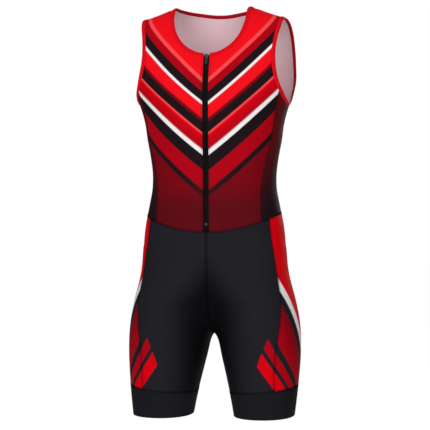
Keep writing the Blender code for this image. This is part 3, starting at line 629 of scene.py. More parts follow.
def beside(curve, width, centre, closed=False):
    """The curve that runs beside another on the figure, on the side away from a centre."""
    if closed:
        tangent = np.roll(curve[:-1], -1, axis=0) - np.roll(curve[:-1], 1, axis=0)
        tangent = np.concatenate((tangent, tangent[:1]))
    else:
        tangent = np.gradient(curve, axis=0)
    sideways = unit(np.cross(outward(curve), tangent))
    sideways *= np.sign(((curve - centre) * sideways).sum())
    return settle(curve + width * sideways)


def patch(bottom, top, inner, outer):
    """A grid of points on the figure between four edge curves, row by row from the bottom."""
    u = np.linspace(0, 1, len(bottom))[None, :, None]
    v = np.linspace(0, 1, len(inner))[:, None, None]
    across = (1 - u) * inner[:, None] + u * outer[:, None]
    upward = (1 - v) * bottom[None] + v * top[None]
    corners = (1 - v) * ((1 - u) * bottom[0] + u * bottom[-1]) + v * ((1 - u) * top[0] + u * top[-1])
    grid = across + upward - corners
    grid[1:-1, 1:-1] = settle(grid[1:-1, 1:-1])
    return grid


def side_seam(named, lower, upper, guess_y, count):
    """A side seam from its lower end to its upper end, through its table's points."""
    middle = np.stack((named["x"], np.full(len(named["x"]), guess_y), named["z"]), axis=-1)
    middle = settle(middle, free=DEPTH_ONLY)
    curve = through(np.concatenate((lower[None], middle, upper[None])))
    points = settle(evenly(settle(curve), count))
    points[0] = lower
    points[-1] = upper
    return points


def waist_line():
    """The waist seam round the left half, one point a degree from front to back."""
    angle = np.radians(np.arange(181))
    ahead = np.cos(angle)
    rise = np.where(ahead > 0, -WAIST_FRONT_DROP, WAIST_BACK_RISE)
    z = WAIST_SIDE_Z + rise * ahead ** 2
    x = at_height(TORSO, "half_width", z) * np.sin(angle)
    y = CENTRE_Y - at_height(TORSO, "front", z) * ahead
    return settle(np.stack((x, y, z), axis=-1), free=LEVEL_ONLY)


def leg_ring(z, outer_rise, front_drop):
    """One turn round the left leg, a point a degree: front, outside, back, inside, front."""
    angle = np.radians(np.arange(361))
    inner = at_height(LEG, "inner", z)
    outer = at_height(LEG, "outer", z)
    radius = (outer - inner) / 2
    x = (outer + inner) / 2 + radius * np.sin(angle)
    y = at_height(LEG, "centre_y", z) - at_height(LEG, "front", z) * np.cos(angle)
    points = np.stack((x, y, z + outer_rise * np.sin(angle) - front_drop * np.cos(angle)), axis=-1)
    return settle(points, free=LEVEL_ONLY)


def between(values, places):
    """Values between the rows of an array, on smooth curves through the rows."""
    slopes = np.gradient(values, axis=0)
    span = np.clip(places.astype(int), 0, len(values) - 2)
    t = (places - span).reshape((-1,) + (1,) * (values.ndim - 1))
    start = (1 + 2 * t) * (1 - t) ** 2 * values[span] + t * (1 - t) ** 2 * slopes[span]
    end = t * t * (3 - 2 * t) * values[span + 1] + t * t * (t - 1) * slopes[span + 1]
    return start + end


def finer(values, breaks=(), times=FINER, edge=True):
    """More rows through an array's own, with a corner kept at each break and more rows by the ends."""
    stops = [0, *breaks, len(values) - 1]
    parts = []
    for start, stop in zip(stops, stops[1:]):
        places = np.linspace(start, stop, (stop - start) * times + 1)
        if edge and start == 0:
            places = np.concatenate((places[:1], EDGE_PLACES, places[1:]))
        if edge and stop == stops[-1]:
            places = np.concatenate((places[:-1], stop - EDGE_PLACES[::-1], places[-1:]))
        part = between(values[start:stop + 1], places - start)
        parts.append(part if start == 0 else part[1:])
    return np.concatenate(parts)


def finer_grid(grid, breaks=(), ring=False):
    """A finer grid on the figure through a coarse one."""
    rows = finer(grid, breaks)
    if ring:
        around = np.concatenate((rows[:, -2:], rows, rows[:, :3]), axis=1).swapaxes(0, 1)
        places = np.linspace(2, 2 + grid.shape[1], grid.shape[1] * FINER + 1)
        fine = between(around, places).swapaxes(0, 1)
    else:
        fine = finer(rows.swapaxes(0, 1)).swapaxes(0, 1)
    return settle(fine, steps=FINE_STEPS)


def finer_line(points, breaks=(), times=FINER):
    """A finer line on the figure through a coarse one."""
    return settle(finer(points, breaks, times=times, edge=False), steps=FINE_STEPS)


def run_along(points, axis=0):
    """The distance walked along each line of a grid, from its first point."""
    steps = np.linalg.norm(np.diff(points, axis=axis), axis=-1)
    start = np.zeros_like(np.take(steps, [0], axis=axis))
    return np.cumsum(np.concatenate((start, steps), axis=axis), axis=axis)


def creases(points):
    """How far soft creases lift or sink the cloth at each point."""
    lift = np.zeros(points.shape[:-1])
    for x0, y0, z0, x1, y1, z1, width, height in CREASES:
        for side in (1, -1):
            start = np.array((side * x0, y0, z0))
            along = np.array((side * x1, y1, z1)) - start
            share = ((points - start) @ along) / (along @ along)
            near = np.clip(share, 0, 1)
            away = np.linalg.norm(points - start - near[..., None] * along, axis=-1)
            fade = np.sin(np.pi * np.clip(CREASE_START + CREASE_SPAN * near, 0, 1)) ** CREASE_POWER
            lift += height * fade * np.exp(-(away / width) ** 2)
    oval = np.hypot(points[..., 0] / PAD_HALF_WIDTH, (points[..., 2] - PAD_MIDDLE_Z) / PAD_HALF_HEIGHT)
    in_front = np.interp(-points[..., 1], [-y for y in PAD_FRONT_Y], (0.0, 1.0))
    return lift + PAD_RISE * in_front * np.exp(-((oval - 1) / PAD_EDGE) ** 2)


def edge_sink(points, edges):
    """How far the cloth dips or stands by its edges: a seam pulls it in, and a fold stands proud."""
    down = run_along(points, axis=0)
    across = run_along(points, axis=1)
    away = {"foot": down, "head": down[-1:] - down, "inner": across, "outer": across[:, -1:] - across}
    lift = np.zeros(points.shape[:-1])
    for name, kind in edges.items():
        reach = away[name]
        if kind == "seam":
            lift -= SEAM_SINK * np.exp(-(reach / SEAM_REACH) ** 2)
        elif kind == "fold":
            lift += FOLD_RISE * np.exp(-(reach / FOLD_REACH) ** 4)
            lift -= FOLD_STITCH_SINK * np.exp(-((reach - FOLD_STITCH_PLACE) / FOLD_STITCH_REACH) ** 2)
    return lift


def cut(points, edges, mirrored=False, measured_from="inner"):
    """One cut of cloth: its outer face, and its places in the knit and in the print."""
    across = run_along(points, axis=1)
    printed = across
    if measured_from in PRINT_TURNS:
        way, start = PRINT_TURNS[measured_from]
        printed = abs(points[..., 0]) + way * PRINT_TURN * (points[..., 1] - start)
    elif measured_from == "outer":
        printed = across - across[:, -1:]
    up = run_along(points, axis=0)
    lift = edge_sink(points, edges) + creases(points)
    if mirrored:
        points = points * MIRROR
    return {
        "points": points + lift[..., None] * outward(points),
        "knit": np.stack((across, up), axis=-1),
        "print": np.stack((printed, points[..., 2]), axis=-1),
    }


def cloth(name, cuts, outer, inner, thickness=CLOTH, raised=0.0):
    """A sheet of cloth with its lining face, from one or more cuts that share their edges."""
    corners = []
    places = []
    for part in cuts:
        rows, across = part["points"].shape[:2]
        first = sum(len(found) for found in places)
        number = np.arange(rows * across).reshape(rows, across) + first
        corners.append(np.stack((number[:-1, :-1], number[:-1, 1:], number[1:, 1:], number[1:, :-1]),
                                axis=-1).reshape(-1, 4))
        places.append(part["points"].reshape(-1, 3))
    corners = np.concatenate(corners)
    places = np.concatenate(places)
    maps = {key: np.concatenate([part[key].reshape(-1, 2) for part in cuts]) for key in ("knit", "print")}
    _, chosen, shared = np.unique(np.round(places / WELD).astype(int), axis=0,
                                  return_index=True, return_inverse=True)
    points = places[chosen]
    faces = shared.reshape(-1)[corners]
    way_out = outward(points)
    a, b, c, d = (points[faces[:, corner]] for corner in range(4))
    turned = (np.cross(c - a, d - b) * way_out[faces[:, 0]]).sum(axis=-1) < 0
    faces[turned] = faces[turned][:, ::-1]
    corners[turned] = corners[turned][:, ::-1]
    front = points + raised * way_out
    back = points + (raised - thickness) * way_out
    edges = np.concatenate([faces[:, [i, (i + 1) % 4]] for i in range(4)])
    edge_corners = np.concatenate([corners[:, [i, (i + 1) % 4]] for i in range(4)])
    _, first_use, uses = np.unique(np.sort(edges, axis=1), axis=0, return_index=True, return_counts=True)
    rim = first_use[uses == 1]
    count = len(points)
    rims = np.stack((edges[rim, 1], edges[rim, 0], edges[rim, 0] + count, edges[rim, 1] + count), axis=-1)
    rim_corners = edge_corners[rim][:, [1, 0, 0, 1]]
    all_faces = np.concatenate((faces, faces[:, ::-1] + count, rims))
    all_corners = np.concatenate((corners, corners[:, ::-1], rim_corners))
    mesh = bpy.data.meshes.new(name)
    mesh.from_pydata(np.concatenate((front, back)), [], all_faces.tolist())
    for key in ("knit", "print"):
        layer = mesh.uv_layers.new(name=key)
        layer.uv.foreach_set("vector", maps[key][all_corners.reshape(-1)].reshape(-1))
    mesh.materials.append(outer)
    mesh.materials.append(inner)
    which = np.zeros(len(all_faces), dtype=int)
    which[len(faces):2 * len(faces)] = 1
    mesh.polygons.foreach_set("material_index", which)
    mesh.shade_smooth()
    mesh.set_sharp_from_angle(angle=SMOOTH_ANGLE)
    return place(name, mesh)


def place(name, mesh):
    """A mesh as an object in the scene, at the origin."""
    made = bpy.data.objects.new(name, mesh)
    bpy.context.scene.collection.objects.link(made)
    return made


def finish_piece(piece, nodes, body="garment"):
    """A piece set on its body, standing for its nodes, which are hidden."""
    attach(piece, body)
    if nodes:
        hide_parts(*nodes)
    return piece


def threads(paths, ways, radius, sides=5):
    """Round threads along paths that already stand off the cloth, as points and faces."""
    ahead = unit(np.gradient(paths, axis=1))
    side = unit(np.cross(ahead, ways))
    up = np.cross(side, ahead)
    turns = np.linspace(0, 2 * math.pi, sides, endpoint=False)[:, None]
    ring = np.cos(turns) * side[:, :, None] + np.sin(turns) * up[:, :, None]
    points = paths[:, :, None] + radius * ring
    number = np.arange(points[..., 0].size).reshape(points.shape[:3])
    after = np.roll(number, -1, axis=2)
    walls = np.stack((number[:, :-1], number[:, 1:], after[:, 1:], after[:, :-1]), axis=-1)
    faces = walls.reshape(-1, 4).tolist() + number[:, 0].tolist() + number[:, -1, ::-1].tolist()
    return points.reshape(-1, 3), faces


def thread_piece(name, parts, look):
    """Threads gathered in one piece, which rides on the garment."""
    points = []
    faces = []
    for found, sides in parts:
        first = sum(len(group) for group in points)
        points.append(found)
        faces += [[corner + first for corner in face] for face in sides]
    mesh = bpy.data.meshes.new(name)
    mesh.from_pydata(np.concatenate(points), [], faces)
    shape = bmesh.new()
    shape.from_mesh(mesh)
    bmesh.ops.recalc_face_normals(shape, faces=shape.faces)
    shape.to_mesh(mesh)
    shape.free()
    mesh.shade_smooth()
    mesh.materials.append(look)
    return finish_piece(place(name, mesh), ())


def evenly_spaced(line, gap):
    """A line with its points evenly spaced, close to the gap."""
    return evenly(line, max(int(round(run_along(line)[-1] / gap)), 2))


def both_sides(parts):
    """Threads and their mirror image on the right."""
    return parts + [(points * MIRROR, faces) for points, faces in parts]


def cover_stitch(line, lift=COVER_LIFT, half=COVER_HALF):
    """A flat cover seam: a thread that crosses over the join, and a needle line on each side."""
    path = evenly_spaced(line, COVER_PITCH)
    ways = outward(path)
    side = unit(np.cross(np.gradient(path, axis=0), ways))
    swing = np.cos(np.arange(len(path)) * np.pi)[:, None]
    middle = path + (lift + creases(path))[:, None] * ways
    parts = [threads((middle + swing * half * side)[None], ways[None], COVER_THREAD, sides=4)]
    for way in (1, -1):
        needle = middle + way * half * side + NEEDLE_BUMP * swing * ways
        parts.append(threads(needle[None], ways[None], NEEDLE_THREAD, sides=4))
    return parts


def top_stitch(line, lift):
    """Single stitches along a line, each a short thread that dips into the cloth at both ends."""
    fine = evenly_spaced(line, STITCH_PITCH / STITCH_STEPS)
    ways = outward(fine)
    raised = fine + (lift + creases(fine))[:, None] * ways
    count = (len(fine) - STITCH_SHOWN) // STITCH_STEPS
    rows = STITCH_STEPS * np.arange(count)[:, None] + np.arange(STITCH_SHOWN)
    rise = np.sin(np.linspace(0, np.pi, STITCH_SHOWN)) - STITCH_DIP
    paths = raised[rows] + NEEDLE_THREAD * rise[:, None] * ways[rows]
    return [threads(paths, ways[rows], NEEDLE_THREAD)]


def feed(tree, socket, value):
    """Gives a socket a value, or a link from another node's output."""
    if isinstance(value, bpy.types.NodeSocket):
        tree.links.new(value, socket)
    else:
        socket.default_value = value


def sum_of(tree, operation, *values):
    """A math node's result."""
    made = tree.nodes.new("ShaderNodeMath")
    made.operation = operation
    for socket, value in zip(made.inputs, values):
        feed(tree, socket, value)
    return made.outputs["Value"]


def step_between(tree, value, low, high):
    """Zero below low, one above high, and smooth between them."""
    made = tree.nodes.new("ShaderNodeMapRange")
    made.interpolation_type = "SMOOTHSTEP"
    for name, given in (("Value", value), ("From Min", low), ("From Max", high)):
        feed(tree, made.inputs[name], given)
    return made.outputs["Result"]


def mixed(tree, share, first, second, way="MIX"):
    """Two colours mixed by a share."""
    made = tree.nodes.new("ShaderNodeMix")
    made.data_type = "RGBA"
    made.blend_type = way
    for socket, value in zip((made.inputs[0], made.inputs[6], made.inputs[7]), (share, first, second)):
        feed(tree, socket, value)
    return made.outputs[2]


def ramp(tree, value, stops, smooth="LINEAR"):
    """A colour ramp with a stop for each place and colour."""
    made = tree.nodes.new("ShaderNodeValToRGB")
    made.color_ramp.interpolation = smooth
    while len(made.color_ramp.elements) < len(stops):
        made.color_ramp.elements.new(0.5)
    for element, (place_on, colour) in zip(made.color_ramp.elements, stops):
        element.position = place_on
        element.color = colour
    feed(tree, made.inputs["Fac"], value)
    return made.outputs["Color"]


def noise(tree, where, scale, detail=3.0):
    """Cloudy noise, as a value."""
    made = tree.nodes.new("ShaderNodeTexNoise")
    made.inputs["Scale"].default_value = scale
    made.inputs["Detail"].default_value = detail
    feed(tree, made.inputs["Vector"], where)
    return made.outputs["Fac"]


def uv_map(tree, name):
    """The place of a point in one of the cloth's own maps."""
    made = tree.nodes.new("ShaderNodeUVMap")
    made.uv_map = name
    return made.outputs["UV"]


def object_place(tree):
    """The place of a point in metres, on the object itself."""
    return tree.nodes.new("ShaderNodeTexCoord").outputs["Object"]


def split(tree, vector):
    """The parts of a vector, by name."""
    made = tree.nodes.new("ShaderNodeSeparateXYZ")
    feed(tree, made.inputs[0], vector)
    return made.outputs


def new_group(name, inputs, outputs):
    """A node group with named inputs and outputs, each a name and a kind."""
    group = bpy.data.node_groups.new(name, "ShaderNodeTree")
    for direction, sockets in (("INPUT", inputs), ("OUTPUT", outputs)):
        for socket_name, kind in sockets:
            group.interface.new_socket(name=socket_name, in_out=direction, socket_type="NodeSocket" + kind)
    return group, group.nodes.new("NodeGroupInput").outputs, group.nodes.new("NodeGroupOutput").inputs


def knit_group():
    """Fine knit: ribs of small V stitches, with a little unevenness, as a height and a shade."""
    group, given, out = new_group(
        "knit", (("Place", "Vector"), ("Rib", "Float"), ("Course", "Float")),
        (("Height", "Float"), ("Shade", "Float")))
    where = split(group, given["Place"])
    across = sum_of(group, "DIVIDE", where["X"], given["Rib"])
    up = sum_of(group, "DIVIDE", where["Y"], given["Course"])
    lean = sum_of(group, "PINGPONG", across, 0.5)
    rib = sum_of(group, "ABSOLUTE", sum_of(group, "SINE", sum_of(group, "MULTIPLY", across, math.pi)))
    stitch = sum_of(group, "SINE", sum_of(group, "MULTIPLY", sum_of(group, "ADD", up, lean), 2 * math.pi))
    height = sum_of(group, "MULTIPLY_ADD", stitch, STITCH_SHARE, sum_of(group, "MULTIPLY", rib, RIB_SHARE))
    uneven = noise(group, given["Place"], UNEVEN_SCALE, 2.0)
    feed(group, out["Height"], sum_of(group, "MULTIPLY_ADD", uneven, UNEVEN_SHARE, height))
    feed(group, out["Shade"], sum_of(group, "MULTIPLY_ADD", height, *KNIT_SHADE))
    return group


def wear_group():
    """Slow changes of shade over a cloth, from dye and stretch."""
    group, given, out = new_group(
        "dye_drift", (("Place", "Vector"), ("Amount", "Float")), (("Shade", "Float"),))
    slow = sum_of(group, "SUBTRACT", noise(group, given["Place"], DRIFT_SCALE, 4.0), 0.5)
    feed(group, out["Shade"], sum_of(group, "MULTIPLY_ADD", slow, given["Amount"], 1.0))
    return group


def use_group(tree, group, **values):
    """A node group's outputs, with its inputs set by name."""
    made = tree.nodes.new("ShaderNodeGroup")
    made.node_tree = group
    for name, value in values.items():
        feed(tree, made.inputs[name], value)
    return made.outputs


def new_look(name, finish, metallic=0.0, sheen=0.0, gloss=0.5):
    """A material with its shader, whose constant values sit on the shader's own sockets."""
    made = bpy.data.materials.new(name)
    made.use_nodes = True
    shader = made.node_tree.nodes["Principled BSDF"]
    shader.inputs["Roughness"].default_value = ROUGHNESS[finish]
    shader.inputs["Metallic"].default_value = metallic
    shader.inputs["Sheen Weight"].default_value = sheen
    shader.inputs["Sheen Roughness"].default_value = 0.4
    shader.inputs["Specular IOR Level"].default_value = gloss
    return made, made.node_tree, shader


def add_bump(tree, shader, height, distance):
    """A height that tilts the shader's normal."""
    made = tree.nodes.new("ShaderNodeBump")
    made.inputs["Distance"].default_value = distance
    feed(tree, made.inputs["Height"], height)
    tree.links.new(made.outputs["Normal"], shader.inputs["Normal"])


def plain(tree, colour):
    """One colour, as a node's output."""
    return mixed(tree, 0.0, colour, colour)


def shaded(tree, colour, *shades):
    """A colour made lighter or darker by each shade."""
    for shade in shades:
        colour = mixed(tree, 1.0, colour, ramp_grey(tree, shade), "MULTIPLY")
    return colour


def ramp_grey(tree, value):
    """A grey of the given value."""
    made = tree.nodes.new("ShaderNodeCombineColor")
    for socket in made.inputs[:3]:
        feed(tree, socket, value)
    return made.outputs[0]


def knit_look(name, paint, finish="knit", gloss=KNIT_GLOSS, rib=RIB, course=COURSE, depth=KNIT_DEPTH):
    """A knit cloth: paint gives its colour from the node tree."""
    made, tree, shader = new_look(name, finish, sheen=KNIT_SHEEN, gloss=gloss)
    knit = use_group(tree, KNIT, Place=uv_map(tree, "knit"), Rib=rib, Course=course)
    drift = use_group(tree, DYE_DRIFT, Place=object_place(tree), Amount=DRIFT_AMOUNT)
    colour = paint(tree) if callable(paint) else plain(tree, paint)
    feed(tree, shader.inputs["Base Color"], shaded(tree, colour, knit["Shade"], drift["Shade"]))
    add_bump(tree, shader, knit["Height"], depth)
    return made


def stops_at(low, high, bands):
    """Ramp stops for bands of colour, the last of which ends at the high value."""
    stops = []
    ends = [band[0] for band in bands[1:]] + [high]
    for (start, first, last), end in zip(bands, ends):
        stops.append(((start - low) / (high - low) + BAND_EDGE, first))
        stops.append(((end - low) / (high - low) - BAND_EDGE, last))
    return stops


def ranged(tree, value, low, high, first=0.0, last=1.0):
    """A value moved from one range to another."""
    made = tree.nodes.new("ShaderNodeMapRange")
    for name, given in (
            ("Value", value), ("From Min", low), ("From Max", high), ("To Min", first), ("To Max", last)):
        feed(tree, made.inputs[name], given)
    return made.outputs["Result"]


def slanted(tree, slope, bands, high):
    """The colour of straight bands that rise across the print by the slope, and the place in the print."""
    where = split(tree, uv_map(tree, "print"))
    level = sum_of(tree, "MULTIPLY_ADD", where["X"], slope, where["Y"])
    low = bands[0][0]
    return ramp(tree, ranged(tree, level, low, high), stops_at(low, high, bands)), where


def dots(tree, share):
    """A screen of round dots that grow with the share."""
    where = uv_map(tree, "print")
    turned = tree.nodes.new("ShaderNodeMapping")
    turned.inputs["Rotation"].default_value = (0, 0, math.radians(45))
    turned.inputs["Scale"].default_value = (1 / DOT_PITCH,) * 3
    feed(tree, turned.inputs["Vector"], where)
    place_in = split(tree, turned.outputs["Vector"])
    parts = []
    for axis in ("X", "Y"):
        off = sum_of(tree, "SUBTRACT", sum_of(tree, "FRACT", place_in[axis]), 0.5)
        parts.append(sum_of(tree, "MULTIPLY", off, off))
    away = sum_of(tree, "SQRT", sum_of(tree, "ADD", *parts))
    size = sum_of(tree, "MULTIPLY", share, DOT_SIZE)
    return step_between(tree, sum_of(tree, "SUBTRACT", size, away), -DOT_SOFT, DOT_SOFT)


def upper_print(tree):
    """Chest and back: chevrons in red, dark red, black and white that fade to deep red at the waist."""
    colour, where = slanted(tree, CHEVRON_SLOPE, UPPER_BANDS, UPPER_HIGH)
    fade = step_between(tree, where["Y"], *reversed(FADE_HEIGHTS))
    fade = sum_of(tree, "SUBTRACT", 1.0, fade)
    dotted = dots(tree, fade)
    share = sum_of(tree, "MAXIMUM", dotted, sum_of(tree, "POWER", fade, FADE_POWER))
    return mixed(tree, share, colour, INK_WAIST_RED)


def side_print(tree):
    """The side panel above the waist: dark red, darker towards its back seam and the waist."""
    where = split(tree, uv_map(tree, "print"))
    down = step_between(tree, where["Y"], *SIDE_FADE_HEIGHTS)
    across = step_between(tree, where["X"], *SIDE_FADE_ACROSS)
    red = mixed(tree, across, INK_SIDE_RED, INK_SIDE_DARK)
    return mixed(tree, down, INK_BLACK, red)


def black_with_painted_crotch_shade(tree):
    """The black of the shorts, darkened by painted shade near the middle, between the legs; the thighs keep
    the plain black.
    """
    where = split(tree, object_place(tree))
    above = sum_of(tree, "MAXIMUM", sum_of(tree, "SUBTRACT", where["Z"], CROTCH_SHADE_Z), 0.0)
    away = sum_of(tree, "MULTIPLY_ADD", above, CROTCH_SHADE_RISE, sum_of(tree, "ABSOLUTE", where["X"]))
    return mixed(tree, step_between(tree, away, *CROTCH_SHADE_ACROSS), SHORTS_PAINTED_SHADE, SHORTS_BLACK)


def shorts_side_print(tree):
    """The side panel of the shorts: a red block, a white band and straight bars over dark red."""
    return slanted(tree, SIDE_SLOPE, SIDE_BANDS, SIDE_HIGH)[0]


def shorts_front_print(tree):
    """The front of the shorts: black, where the side's lowest bars run on and end in a straight line."""
    bars, where = slanted(tree, SIDE_SLOPE, FRONT_BARS, SIDE_HIGH)
    lower = sum_of(tree, "SUBTRACT", BAR_END_Z, where["Y"])
    inward = sum_of(tree, "MULTIPLY_ADD", lower, BAR_END_SLOPE, where["X"])
    shown = step_between(tree, inward, BAR_END - PRINT_BLUR, BAR_END + PRINT_BLUR)
    # The black under the bars carries the painted shade between the legs
    return mixed(tree, shown, black_with_painted_crotch_shade(tree), bars)


def upper_lines(waist):
    """The coarse grids and lines of everything above the waist, on the left half."""
    open_edge = settle(through(columns(ARMHOLE, "x", "y", "z"), closed=True))
    centre = open_edge.mean(axis=0)
    sewn_edge = beside(open_edge, BINDING_WIDTH + SEAM_GAP / 2, centre, closed=True)
    corners = (ARMHOLE_FRONT_CORNER * FINE, ARMHOLE_BACK_CORNER * FINE)
    front_arm = at(sewn_edge, spread(sewn_edge, ARM_ROWS, 0, corners[0]))[::-1]
    under_arm = at(sewn_edge, spread(sewn_edge, SIDE_COLUMNS, *corners))
    back_arm = at(sewn_edge, spread(sewn_edge, ARM_ROWS, corners[1]))

    angles = np.radians(NECK_ARC_ANGLES)
    arc = np.stack((NECK_HALF_WIDTH * np.sin(angles), np.full(len(angles), NECK_GUESS_Y),
                    NECK_CENTRE_Z - NECK_DROP * np.cos(angles)), axis=-1)
    arc = settle(arc, free=DEPTH_ONLY)
    half_neck = np.concatenate((arc, columns(NECK_TOP, "x", "y", "z")))
    whole_neck = settle(through(np.concatenate((half_neck, half_neck[-2:0:-1] * MIRROR)), closed=True))
    sewn_neck = beside(whole_neck, BINDING_WIDTH + SEAM_GAP / 2, whole_neck.mean(axis=0), closed=True)
    shoulder_place = NECK_SHOULDER_PLACE * FINE
    back_place = (len(half_neck) - 1) * FINE
    zip_place = np.interp(ZIP_HALF_GAP, sewn_neck[:FINE, 0], np.arange(FINE))
    rows = SIDE_ROWS + ARM_ROWS
    neck_front = at(sewn_neck, spread(sewn_neck, rows - ZIP_ROWS, zip_place, shoulder_place))
    neck_back = at(sewn_neck, spread(sewn_neck, rows - BACK_ROWS, shoulder_place, back_place))[::-1]

    ridge = np.linspace(neck_front[-1], front_arm[-1], FRONT_COLUMNS + 1)
    ridge = settle(ridge, free=HEIGHT_ONLY)
    shoulder = np.concatenate((neck_front[-1:], ridge[1:-1], front_arm[-1:]))

    near_zip = waist[:FINE, 0]
    zip_foot = np.interp(ZIP_HALF_GAP, near_zip, np.arange(FINE))
    zip_guess = np.linspace(at(waist, zip_foot), neck_front[0], ZIP_ROWS + 1)
    zip_guess[:, 0] = ZIP_HALF_GAP
    zip_edge = settle(zip_guess, free=DEPTH_ONLY)
    front_foot = at(waist, spread(waist, FRONT_COLUMNS, zip_foot, UPPER_FRONT_SEAM_ANGLE))
    side_foot = at(waist, spread(waist, SIDE_COLUMNS, UPPER_FRONT_SEAM_ANGLE, UPPER_BACK_SEAM_ANGLE))
    back_foot = at(waist, spread(waist, FRONT_COLUMNS, UPPER_BACK_SEAM_ANGLE, 180))[::-1]
    front_seam = side_seam(UPPER_FRONT_SEAM, front_foot[-1], front_arm[0], FRONT_SEAM_GUESS_Y, SIDE_ROWS)
    back_seam = side_seam(UPPER_BACK_SEAM, side_foot[-1], back_arm[0], BACK_SEAM_GUESS_Y, SIDE_ROWS)
    centre_back = np.linspace(back_foot[0], neck_back[0], BACK_ROWS + 1)
    centre_back = settle(centre_back, free=DEPTH_ONLY)
    front = patch(
        bottom=front_foot,
        top=shoulder,
        inner=np.concatenate((zip_edge, neck_front[1:])),
        outer=np.concatenate((front_seam, front_arm[1:])),
    )
    side = patch(bottom=side_foot, top=under_arm, inner=front_seam, outer=back_seam)
    back = patch(
        bottom=back_foot,
        top=shoulder,
        inner=np.concatenate((centre_back, neck_back[1:])),
        outer=np.concatenate((back_seam, back_arm[1:])),
    )
    back[:BACK_ROWS + 1, 0, 0] = 0.0
    return {"front": front, "side": side, "back": back, "shoulder": shoulder, "zip_edge": zip_edge,
            "neck_foot": at(whole_neck, zip_place), "arm_open": open_edge, "arm_sewn": sewn_edge,
            "neck_open": whole_neck, "neck_sewn": sewn_neck,
            "zip_place": zip_place, "back_place": back_place}


def lower_lines(waist):
    """The coarse grids and lines of everything below the waist, on the left half."""
    band_top = leg_ring(BAND_Z, BAND_TILT, HEM_FRONT_DROP)
    hem = leg_ring(HEM_Z, 0.0, HEM_FRONT_DROP)
    rise_points = np.stack((np.zeros(len(RISE["y"])), RISE["y"], RISE["z"]), axis=-1)
    rise = through(np.concatenate((waist[:1], rise_points, waist[-1:])))
    rise = settle(rise, free=MIDDLE_ONLY)
    rise[:, 0] = 0.0
    crotch_place = RISE_CROTCH_ROW * FINE
    front_rise = at(rise, spread(rise, RISE_ROWS, 0, crotch_place))
    back_rise = at(rise, spread(rise, RISE_ROWS, crotch_place))[::-1]
    crotch = front_rise[-1]
    inside = band_top[INSIDE_OF_LEG]
    inseam = through(np.concatenate((crotch[None], columns(INSEAM, "x", "y", "z"), inside[None])))
    inseam = settle(evenly(settle(inseam), INSEAM_ROWS))
    inseam[0] = crotch
    inseam[-1] = inside
    turns = np.concatenate((band_top[INSIDE_OF_LEG:-1], band_top[:INSIDE_OF_LEG + 1]))
    hem_turns = np.concatenate((hem[INSIDE_OF_LEG:-1], hem[:INSIDE_OF_LEG + 1]))
    seam_turns = np.array([0, 90 + BAND_FRONT_SEAM_ANGLE, 90 + BAND_BACK_SEAM_ANGLE, 360])
    places = [spread(turns, LEG_COLUMNS, first, last) for first, last in zip(seam_turns, seam_turns[1:])]
    feet = [at(turns, place_on) for place_on in places]
    waist_stops = (0, SHORTS_FRONT_SEAM_ANGLE, SHORTS_BACK_SEAM_ANGLE, 180)
    tops = [at(waist, spread(waist, LEG_COLUMNS, first, last))
            for first, last in zip(waist_stops, waist_stops[1:])]
    for top in (tops[0][0], tops[2][-1]):
        top[0] = 0.0
    rows = RISE_ROWS + INSEAM_ROWS
    front_seam = side_seam(SHORTS_FRONT_SEAM, tops[1][0], feet[1][0], FRONT_SEAM_GUESS_Y, rows)
    back_seam = side_seam(SHORTS_BACK_SEAM, tops[2][0], feet[2][0], BACK_SEAM_GUESS_Y, rows)
    front = patch(tops[0], feet[0], np.concatenate((front_rise, inseam[1:])), front_seam)
    side = patch(tops[1], feet[1], front_seam, back_seam)
    back = patch(tops[2], feet[2], back_seam, np.concatenate((back_rise, inseam[1:])))
    ring_places = np.concatenate([place_on[:-1] for place_on in places])
    band = np.linspace(at(turns, ring_places), at(hem_turns, ring_places), BAND_ROWS + 1)
    band[1:-1] = settle(band[1:-1])
    return {"front": front, "side": side, "back": back, "band": band, "rise": rise, "inseam": inseam,
            "band_top": band_top}


def trimmed(grid, ring=False):
    """A grid with its edges drawn in a little, so that no two cloths touch."""
    grid = grid.copy()
    for edge, beyond in ((0, 1), (-1, -2)):
        grid[edge] += unit(grid[beyond] - grid[edge]) * SEAM_DRAW
        if not ring:
            grid[:, edge] += unit(grid[:, beyond] - grid[:, edge]) * SEAM_DRAW
    return grid


def pair(name, grid, edges, looks, slot, breaks=(), ring=False, measured_from="inner", **sizes):
    """A left piece of cloth and its mirror image on the right, each with an outer and an inner look."""
    fine = trimmed(finer_grid(grid, breaks, ring), ring)
    made = []
    for side in ("left", "right"):
        parts = [cut(fine, edges, side == "right", measured_from)]
        piece = cloth(name + "_cloth_" + side, parts, *looks, **sizes)
        made.append(finish_piece(piece, [name + "_" + side]))
    return made


